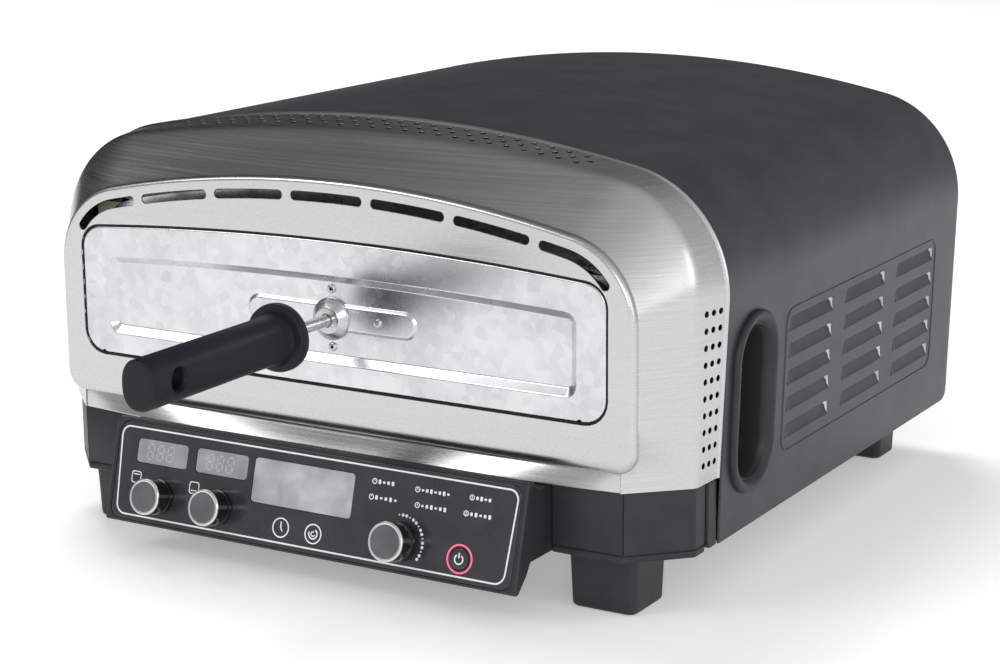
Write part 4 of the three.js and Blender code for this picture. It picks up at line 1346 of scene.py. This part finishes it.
@dataclass
class ControlPanel:
    """Housing, fascia, displays, prints, knobs and power button."""

    half: float = 146.5
    fascia_half: float = 143.2
    fascia_top: float = -3.2
    fascia_bottom: float = 57.2
    print_height: float = 0.12
    power: Flat = (108.1, 43.7)
    seats: tuple[KnobSeat, ...] = (
        KnobSeat("upper_heat", -107.3, 11.0, 0.5, 14.8, Body.UPPER_KNOB),
        KnobSeat("lower_heat", -62.9, 11.0, 0.5, 14.8, Body.LOWER_KNOB),
        KnobSeat("program", 67.5, 11.6, 2.0, 14.6, Body.PROGRAM_KNOB),
    )
    screens: tuple[tuple[str, float, float, float, float], ...] = (
        ("display_upper_heat", -108.9, 13.8, 38.7, 15.2),
        ("display_lower_heat", -63.8, 13.8, 38.7, 15.2),
        ("display_program", -4.1, 19.4, 72.0, 27.2),
    )

    def build(self) -> None:
        """Builds the panel from the housing outwards."""
        self.housing()
        self.fascia()
        for screen in self.screens:
            self.display(*screen)
        self.prints()
        for seat in self.seats:
            self.knob(seat)
        self.power_key()

    def fascia_outline(self, grow: float) -> list[Flat]:
        """Outline of the fascia, grown by a distance."""
        middle = (self.fascia_top + self.fascia_bottom) / 2
        height = self.fascia_bottom - self.fascia_top
        size = (2 * (self.fascia_half + grow) - 0.8, height + 2 * grow - 0.8)
        return rounded_box((0, middle), size, 7 + grow, 8)

    def housing(self) -> None:
        """Hollow shell with a leaning front and a stepped underside."""
        def side(v: float, h: float) -> Flat:
            """A point of the profile at a place on the panel."""
            return PLANE.at(0, v, h)[1:]

        upper, lower = side(self.fascia_top - 1.2, 0), side(self.fascia_bottom + 1.4, 0)
        heel = (FACE_Y - 21.6, 27.8)
        outline = [
            upper, lower, (lower[0] + 4, lower[1] - 1.6), heel, (FACE_Y - 17.5, 34),
            (FACE_Y + 58, 34),
            (FACE_Y + 58, 74.8), (FACE_Y - 8, 74.8), (FACE_Y - 13, upper[1]),
        ]
        hollow = [
            (FACE_Y - 16.5, 72.8), side(52.5, -4.3), (FACE_Y - 28.5, 24.3),
            (heel[0] - 1.4, heel[1] + 1.6),
            (FACE_Y - 19.2, 36), (FACE_Y + 63, 36), (FACE_Y + 63, 72.8),
        ]
        shell = prism(
            "control_shell", [(-self.half, y, z) for y, z in outline], (2 * self.half, 0, 0)
        )
        round_edges(shell, 1.5, 4, 20)
        window = [(-136, 3), (136, 3), (136, 50.6), (-136, 50.6)]
        carve(
            shell,
            [prism("hollow", [(2 - self.half, y, z) for y, z in hollow], (2 * self.half - 4, 0, 0))]
        )
        carve(shell, [PLANE.plate("recess", self.fascia_outline(0.3), -2.8, 3.0)])
        carve(shell, [PLANE.plate("window", window, -7.0, 1.0)])
        smooth(shell, 30)
        dress(shell, Finish.CHARCOAL, Body.OVEN, ["control_housing"])

    def fascia(self) -> None:
        """Glossy plate with windows for the displays and bores for the knobs."""
        plate = PLANE.plate("panel_fascia", self.fascia_outline(0), -2.5, 0)
        round_edges(plate, 0.5, 3, 60)
        cutters = [
            PLANE.plate(
                "window", rounded_box((u, v), (w, h), 2.5, 6), -4, 2
            ) for _, u, v, w, h in self.screens
        ]
        cutters += [PLANE.plate("bore", circle((s.u, s.v), 3.8, 32), -4, 2) for s in self.seats]
        cutters.append(PLANE.plate("bore", circle(self.power, 6.55, 40), -4, 2))
        carve(plate, cutters)
        smooth(plate, 35)
        dress(plate, Finish.PANEL, Body.OVEN, ["control_fascia"])

    def display(self, name: str, u: float, v: float, width: float, height: float) -> None:
        """A display glass with faint digits behind its face.

        Args:
            name: the node that it stands for.
            u: the middle of the display across the panel.
            v: the middle of the display down the panel.
            width: the width of its window.
            height: the height of its window.
        """
        glass = PLANE.plate(
            f"{name}_glass", rounded_box((u, v), (width - 0.6, height - 0.6), 2.3, 6), -4.1, -0.25
        )
        round_edges(glass, 0.3, 2, 60)
        smooth(glass, 35)
        finish = Finish.BRIGHT_GLASS if width > 50 else Finish.GLASS_GREY
        dress(glass, finish, Body.OVEN, [name])
        if width > 50:
            return
        digits = []
        for n in range(3):
            digits += self.digit(u + (n - 1) * 7.4 - 1.5, v, 9.0)
        piece = join(f"{name}_digits", digits)
        dress(piece, Finish.GHOST, Body.OVEN)

    @staticmethod
    def digit(u: float, v: float, tall: float) -> list[Object]:
        """The seven bars of one unlit digit."""
        wide, bar = tall * 0.48, tall * 0.055
        bars = []
        for dv in (-tall / 2, 0, tall / 2):
            bars.append((u, v + dv, wide / 2 - bar * 1.3, bar))
        for du in (-wide / 2, wide / 2):
            for dv in (-tall / 4, tall / 4):
                bars.append((u + du, v + dv, bar, tall / 4 - bar * 1.3))
        pieces = []
        for bu, bv, half_u, half_v in bars:
            slant = -(bv - v) * 0.12
            outline = rounded_box((bu + slant, bv), (2 * half_u, 2 * half_v), bar * 0.7, 2)
            pieces.append(PLANE.plate("bar", outline, -0.26, -0.18))
        return pieces

    def stroke(self, path: Sequence[Flat], width: float) -> Object:
        """A printed line of even width along an open path on the panel."""
        left, right = [], []
        for i, (u, v) in enumerate(path):
            a, b = path[max(0, i - 1)], path[min(len(path) - 1, i + 1)]
            size = math.dist(a, b)
            nu, nv = -(b[1] - a[1]) / size * width / 2, (b[0] - a[0]) / size * width / 2
            left.append((u + nu, v + nv))
            right.append((u - nu, v - nv))
        return PLANE.plate("stroke", left + right[::-1], -0.02, self.print_height)

    def ring_print(self, centre: Flat, radius: float, width: float) -> Object:
        """A printed circle line."""
        outer, inner = circle(centre, radius, 40), circle(centre, radius - width, 40)
        return PLANE.band("ring", outer, inner, self.print_height)

    def prints(self) -> None:
        """White line round the panel and all plain marks on it."""
        marks = []
        outer, inner = ([
            (
                u * (1 - 0.022 * max(0.0, v) / 54), v
            ) for u, v in rounded_box((0, 27), size, corner, 8, 6)
        ] for size, corner in (((283.4, 54.6), 6.6), ((281.4, 52.6), 5.6)))
        marks.append(PLANE.band("border", outer, inner, self.print_height))
        marks += [self.ring_print((-15.6, 44.8), 6.0, 0.8), self.ring_print((7.6, 45.0), 6.0, 0.8)]
        marks.append(self.stroke([(-15.6, 41.2), (-15.6, 44.8), (-14.2, 46.8)], 0.8))
        marks.append(self.stroke(arc((7.6, 45.0), 2.9, -60, 200, 16), 0.9))
        marks.append(self.stroke(arc((7.6, 45.0), 1.3, 20, 300, 12), 0.7))
        for seat, u, v, level in (
            (self.seats[0], -126.2, 30.4, -1.7), (self.seats[1], -81.9, 30.8, 1.7)
        ):
            frame = [
                rounded_box((u, v), (7.4 - 2 * t, 7.4 - 2 * t), 1.6 - t / 2, 5) for t in (0, 0.6)
            ]
            marks.append(PLANE.band("oven_mark", frame[0], frame[1], self.print_height))
            marks.append(self.stroke([(u - 2.3, v + level), (u + 2.3, v + level)], 0.6))
            marks.append(self.ring_print((seat.u - 14.8, seat.v + 9.0), 1.3, 0.6))
            marks.append(self.stroke(arc((seat.u, seat.v), 14.0, 168, 200, 8), 0.6))
        marks += self.program_marks()
        piece = join("panel_white_prints", marks)
        dress(piece, Finish.PRINT, Body.OVEN)

    def program_marks(self) -> list[Object]:
        """Plain signs for six presets and dots round the program knob."""
        marks = []
        widths = {
            (51.7, 8.3): 16, (85.2, 8.9): 24, (117.0, 8.2): 15, (52.8, 17.5): 20, (85.2, 17.8): 22,
            (116.4, 17.6): 19
        }
        for index, ((u, v), width) in enumerate(widths.items()):
            left = u - width / 2
            marks.append(self.ring_print((left + 1.7, v), 1.7, 0.55))
            for n in range(index % 3 + 1):
                marks.append(PLANE.plate(
                    "bead", circle((left + 1.7, v - 0.5 + 0.5 * n), 0.35, 8), 0, self.print_height
                ))
            count = round((width - 4.4) / 2.9)
            for n in range(count):
                at = left + 5.2 + n * (width - 5.2) / max(1, count - 0.4)
                tall = (2.6, 1.3, 2.0)[(n + index) % 3]
                marks.append(PLANE.plate(
                    "tick", rounded_box((at, v), (1.7, tall), 0.5, 2), 0, self.print_height
                ))
        centre = (self.seats[2].u, self.seats[2].v)
        for n in range(15):
            angle = math.radians(-100 + 9.5 * n)
            spot = (centre[0] + 15.2 * math.cos(angle), centre[1] + 15.2 * math.sin(angle))
            size = 0.95 if n % 3 else 0.5
            marks.append(PLANE.plate("dot", circle(spot, size, 12), 0, self.print_height))
        return marks

    def knob(self, seat: KnobSeat) -> None:
        """A gloss black knob with a silver ring and a grey face."""
        r, base, top = seat.radius, seat.base, seat.base + seat.height
        at = PLANE.axis(seat.u, seat.v)
        side = [
            (base, r - 1.6), (base, r - 0.3), (base + 0.4, r), (base + 3.0, r),
            (base + 3.3, r - 0.7),
            (base + 4.1, r - 0.7), (base + 4.4, r), (top - 1.5, r), (top - 1.3, r - 0.3),
            (top - 1.3, r - 2.5),
        ]
        body = turned(f"knob_{seat.name}_side", side, at, 56)
        carve(body, [turned("bore", [(base - 1, 3.3), (top - 5.5, 3.3)], at, 24)])
        smooth(body, 35)
        dress(body, Finish.KNOB, seat.body, [f"knob_{seat.name}"])
        ring = [
            (top - 1.5, r - 0.6), (top - 1.4, r), (top - 0.7, r), (top - 0.1, r - 0.5),
            (top, r - 1.1)
        ]
        ring += [(top - 0.15, r - 1.75), (top - 0.6, r - 1.9), (top - 1.2, r - 1.9)]
        band = turned(f"knob_{seat.name}_ring", ring, at, 56)
        smooth(band, 40)
        dress(band, Finish.SILVER, seat.body)
        face = [
            (top - 1.2, r - 1.85), (top - 0.75, r - 1.85), (top - 0.45, r - 2.2),
            (top - 0.4, r - 2.8)
        ]
        cap = turned(f"knob_{seat.name}_face", face, at, 56)
        smooth(cap, 35)
        dress(cap, Finish.KNOB_FACE, seat.body)

    def power_key(self) -> None:
        """Round key with a power sign inside a glowing ring."""
        u, v = self.power
        profile = [(-3, 6.2), (0.2, 6.2), (0.7, 5.9), (0.95, 5.2), (0.85, 4.2)]
        key = turned("power_key", profile, PLANE.axis(u, v), 48)
        smooth(key, 35)
        dress(key, Finish.PANEL, Body.POWER, ["power_button"])
        sign = [
            self.stroke(arc((u, v + 0.2), 2.7, -58, 238, 26), 0.85),
            self.stroke([(u, v - 3.6), (u, v - 0.4)], 0.85)
        ]
        mark = join("power_key_sign", sign)
        mark.data.transform(Matrix.Translation(Vector((0, -PLANE.cos, PLANE.sin)) * 0.86 * MM))
        dress(mark, Finish.PRINT, Body.POWER)
        glow = PLANE.band("glow", circle(self.power, 8.5, 56), circle(self.power, 7.5, 56), 0.2)
        glow.name = "power_glow_ring"
        dress(glow, Finish.POWER_RING, Body.OVEN)


# ----------------------------------------------------------------------- base


@dataclass
class Base:
    """Corner bases with their seams, trim strips and feet."""

    inner_x: float = 146.8
    crease_x: float = 192.5
    side_x: float = 222.5
    bottom: float = 34.0
    top: float = 75.1
    seam_z: float = 38.6
    seam: float = 0.35

    def build(self) -> None:
        """Builds the right-hand pieces and copies them to the left."""
        self.pair("corner_shell", self.corner(), Finish.CHARCOAL, "corner_base")
        self.pair("trim_gloss", self.trim(), Finish.GLOSS_CHARCOAL, "trim_strip")
        for place, y0, y1, top in (("front", 14.2, 54.6, 33.7), ("rear", 374.5, 405.5, 36.2)):
            self.pair(
                f"foot_{place}_block", self.foot(y0, y1, top), Finish.CHARCOAL, f"foot_{place}"
            )

    @staticmethod
    def pair(name: str, right: Object, finish: Finish, node: str) -> None:
        """Dresses a right-hand piece and its mirrored copy."""
        right.name = f"{name}_right"
        smooth(right, 30)
        left = mirrored(right, f"{name}_left")
        for piece, side in ((right, "right"), (left, "left")):
            dress(piece, finish, Body.OVEN, [f"{node}_{side}"])

    def plan(self, x0: float, inset: float) -> list[Flat]:
        """Plan outline of the corner from an inner X outwards, drawn in by an inset."""
        front, crease, back = 5.5 + inset, 36 + 0.4 * inset, 48.0
        points = [(x0, front), (self.crease_x - 0.4 * inset, front), (self.side_x - inset, crease)]
        points += [(self.side_x - inset, back), (x0, back)]
        return [(x, FACE_Y + y) for x, y in points]

    def slab(self, outline: Sequence[Flat], z0: float, z1: float, edge: float) -> Object:
        """A slab of a plan outline with softened edges."""
        slab = prism("slab", [(x, y, z0) for x, y in outline], (0, 0, z1 - z0))
        round_edges(slab, edge, 3, 30)
        return slab

    def corner(self) -> Object:
        """Lower band, core and two upper slabs with fine seams between them."""
        lower = self.slab(self.plan(self.inner_x, 0), self.bottom, self.seam_z - self.seam, 1.0)
        core = self.slab(self.plan(self.inner_x + 0.3, 0.9), self.bottom + 1, self.top - 0.5, 0.3)
        whole = self.slab(self.plan(self.inner_x, 0), self.seam_z + self.seam, self.top, 0.7)
        low = (self.crease_x - self.seam, FACE_Y + 5, self.seam_z - 1)
        groove = block("groove", low, (self.crease_x + self.seam, FACE_Y + 6.3, self.top + 1))
        carve(whole, [groove])
        return join("corner", [lower, core, whole])

    def trim(self) -> Object:
        """Glossy strip with a rounded lower front corner."""
        y0, y1 = FACE_Y + 48.4, FACE_Y + 60.9
        turn = arc((y0 + 6, 40.6), 6, 270, 180, 8)
        profile = [(y1, 34.6), (y1, self.top), (y0, self.top)] + turn[::-1]
        strip = prism("trim", [(217.5, y, z) for y, z in profile], (6.2, 0, 0))
        round_edges(strip, 1.6, 4, 50)
        return strip

    @staticmethod
    def foot(y0: float, y1: float, top: float) -> Object:
        """Tapered foot with a softened sole."""
        middle = (173.8, FACE_Y + (y0 + y1) / 2)
        rings = []
        for z, inset in (
            (0, 3.2), (0.3, 2.2), (1.2, 1.4), (2.4, 1.1), (top - 7, 0.3), (top - 3, 0.05), (top, 0)
        ):
            size = (43.6 - 2 * inset, y1 - y0 - 2 * inset)
            outline = rounded_box(middle, size, 4.5, 5, 3)
            rings.append([(x, y, z) for x, y in outline])
        return skin("foot", rings, cap_start=True, cap_end=True)


# ----------------------------------------------------------------------- back


@dataclass
class BackFittings:
    """Screws of the rear panel and of the fan behind it."""

    screws: tuple[Flat, ...] = (
        (-208, 60), (208, 60), (-208, 180), (208, 180), (-90, 246), (90, 246), (0, 52)
    )
    fan_x: float = -100.0
    fan_z: float = 110.0

    def build(self) -> None:
        """Builds the fittings just behind the rear panel."""
        face = frame_box("rear_panel")[1].y - FACE_Y
        heads = [self.screw(x, z, face) for x, z in self.screws]
        heads += [
            self.screw(self.fan_x + dx, self.fan_z + dz, face)
            for dx in (-35, 35) for dz in (-35, 35)
        ]
        piece = join("back_screws", heads)
        smooth(piece, 35)
        dress(piece, Finish.SATIN_STEEL, Body.OVEN)

    @staticmethod
    def screw(x: float, z: float, face: float) -> Object:
        """A pan head with a cross recess."""
        head = [
            (face - 0.1, 3.1), (face + 0.4, 3.1), (face + 1.1, 2.8), (face + 1.6, 2.1),
            (face + 1.85, 1.0)
        ]
        screw = turned("screw", head, depth_axis(x, z), 20)
        bars = [
            block("bar", (x - a, FACE_Y + face + 1.0, z - b), (x + a, FACE_Y + face + 3, z + b))
            for a, b in ((1.5, 0.3), (0.3, 1.5))
        ]
        carve(screw, [bars[0]])
        carve(screw, [bars[1]])
        return screw


# --------------------------------------------------------------------- inside

INSIDE: dict[Finish, tuple[str, ...]] = {
    Finish.COATED_BACK: ("rear_panel",),
    Finish.DARK_STEEL: ("bottom_plate",),
    Finish.SPANGLE: (
        "cavity_front_frame", "cavity_roof", "cavity_floor", "cavity_side_right",
        "cavity_side_left",
        "cavity_back", "door_liner", "stone_rail_right", "stone_rail_left",
    ),
    Finish.WOOL: (
        "insulation_top", "insulation_side_right", "insulation_side_left", "door_insulation"
    ),
    Finish.STONE: ("pizza_stone",),
    Finish.SHEATH: ("element_upper", "element_lower"),
    Finish.SATIN_STEEL: ("probe_cavity", "probe_stone", "handle_nut"),
    Finish.BRASS: ("shaft_upper_heat", "shaft_lower_heat", "shaft_program"),
    Finish.BOARD: ("control_board", "power_board"),
    Finish.CHARCOAL: ("fan_frame", "power_inlet", "thermal_cutout"),
    Finish.GLOSS_CHARCOAL: (
        "fan_impeller", "encoder_upper_heat", "encoder_lower_heat", "encoder_program",
        "power_switch",
    ),
}


def finish_inside(frame: dict) -> None:
    """Gives every node that keeps its own shape a real finish."""
    for finish, nodes in INSIDE.items():
        for node in nodes:
            coat_node(frame, node, finish)


# --------------------------------------------------------------------- studio


@dataclass
class Studio:
    """Plain pale floor, soft lights and the camera."""

    eye: Point = (0.79883, -1.26507, 0.47665)
    yaw: float = -0.540166
    pitch: float = -0.234304
    roll: float = -0.00843745
    lens: float = 87.541
    bright_side: Point = (0.75, -0.35, -0.25)
    room: tuple[Flat, ...] = ((0.06, 0.03), (0.2, 0.14), (0.5, 0.42), (0.86, 0.72))
    room_strength: float = 1.25
    backdrop: float = 0.78  # grey level that only the camera sees

    def build(self) -> None:
        """Sets up the floor, the light and the camera."""
        self.floor()
        self.lights()
        self.camera()

    def floor(self) -> None:
        """A pale floor that carries soft shadows."""
        settle()
        bpy.ops.mesh.primitive_plane_add(size=16.0, location=(0, 0, -0.0004))
        floor = bpy.context.object
        floor.name = "studio_floor"
        recipe = Recipe("pale_floor")
        recipe.shades(recipe.noise(3.0), (0.86, 0.86, 0.86), (0.88, 0.88, 0.88))
        recipe.fixed(
            Roughness=0.75, Specular_IOR_Level=0.1, Emission_Color=(1, 1, 1, 1),
            Emission_Strength=0.30,
        )
        floor.data.materials.append(recipe.material)

    def lights(self) -> None:
        """Large soft panels around a bright, even room."""
        world = bpy.data.worlds.new("studio_room")
        world.use_nodes = True
        tree = world.node_tree
        way = tree.nodes.new("ShaderNodeTexCoord").outputs["Generated"]
        lean = tree.nodes.new("ShaderNodeVectorMath")
        lean.operation = "DOT_PRODUCT"
        lean.inputs[1].default_value = self.bright_side
        ramp = tree.nodes.new("ShaderNodeValToRGB")
        ramp.color_ramp.interpolation = "EASE"
        tree.links.new(way, lean.inputs[0])
        half = tree.nodes.new("ShaderNodeMath")
        half.operation = "MULTIPLY_ADD"
        half.inputs[1].default_value = half.inputs[2].default_value = 0.5
        tree.links.new(lean.outputs["Value"], half.inputs[0])
        tree.links.new(half.outputs[0], ramp.inputs["Fac"])
        stops = ramp.color_ramp.elements
        stops[0].position, stops[1].position = self.room[0][0], self.room[-1][0]
        for place, _ in self.room[1:-1]:
            stops.new(place)
        for stop, (_, level) in zip(stops, self.room):
            stop.color = (level, level, level, 1)
        backdrop = tree.nodes.new("ShaderNodeMix")
        backdrop.data_type = "RGBA"
        backdrop.inputs["B"].default_value = (self.backdrop, self.backdrop, self.backdrop, 1)
        tree.links.new(
            tree.nodes.new("ShaderNodeLightPath").outputs["Is Camera Ray"],
            backdrop.inputs["Factor"]
        )
        tree.links.new(ramp.outputs["Color"], backdrop.inputs["A"])
        tree.links.new(backdrop.outputs["Result"], tree.nodes["Background"].inputs["Color"])
        tree.nodes["Background"].inputs["Strength"].default_value = self.room_strength
        bpy.context.scene.world = world
        bpy.context.scene.view_settings.view_transform = "Standard"
        key = self.panel("key_above", (-1.7, 1.6, 4.0), (0, 0, 0.1), (2.2, 2.0), 105)
        key.visible_glossy = False
        self.panel("lip_wash", (-1.15, -1.45, 1.45), (0, -0.15, 0.12), (1.0, 0.6), 10)
        self.panel("front_right", (1.55, -2.35, 0.95), (0.1, 0, 0.12), (0.5, 0.5), 13)
        self.panel("right_side", (2.4, -0.4, 0.7), (0, 0.0, 0.12), (0.8, 1.0), 4)

    @staticmethod
    def panel(name: str, place: Point, aim: Point, size: Flat, power: float) -> Object:
        """An area light that faces a point."""
        data = bpy.data.lights.new(name, "AREA")
        data.shape = "RECTANGLE"
        data.size, data.size_y = size
        data.energy = power
        light = bpy.data.objects.new(name, data)
        light.location = place
        light.rotation_euler = (Vector(aim) - Vector(place)).to_track_quat("-Z", "Y").to_euler()
        bpy.context.scene.collection.objects.link(light)
        return light

    def camera(self) -> None:
        """A long lens in front, to the right and a little above."""
        ahead = Vector((
            math.sin(self.yaw) * math.cos(self.pitch), math.cos(self.yaw) * math.cos(self.pitch),
            math.sin(self.pitch),
        ))
        right = Vector((math.cos(self.yaw), -math.sin(self.yaw), 0))
        up = right.cross(ahead)
        c, s = math.cos(self.roll), math.sin(self.roll)
        across, over = c * right + s * up, -s * right + c * up
        data = bpy.data.cameras.new("camera")
        data.lens = self.lens
        data.sensor_width = 36.0
        data.clip_start = 0.05
        camera = bpy.data.objects.new("camera", data)
        camera.matrix_world = Matrix.Translation(self.eye) @ Matrix(
            (across, over, -ahead)
        ).transposed().to_4x4()
        bpy.context.scene.collection.objects.link(camera)
        bpy.context.scene.camera = camera


def main() -> None:
    """Builds the oven around the frame."""
    logging.basicConfig(level=logging.INFO, format="%(message)s")
    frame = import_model()
    for builder in (
        FrontBezel(), Casing(), SideGrips(), DoorLeaf(), ControlPanel(), Base(), BackFittings()
    ):
        builder.build()
    finish_inside(frame)
    Studio().build()


if __name__ == "__main__":
    main()
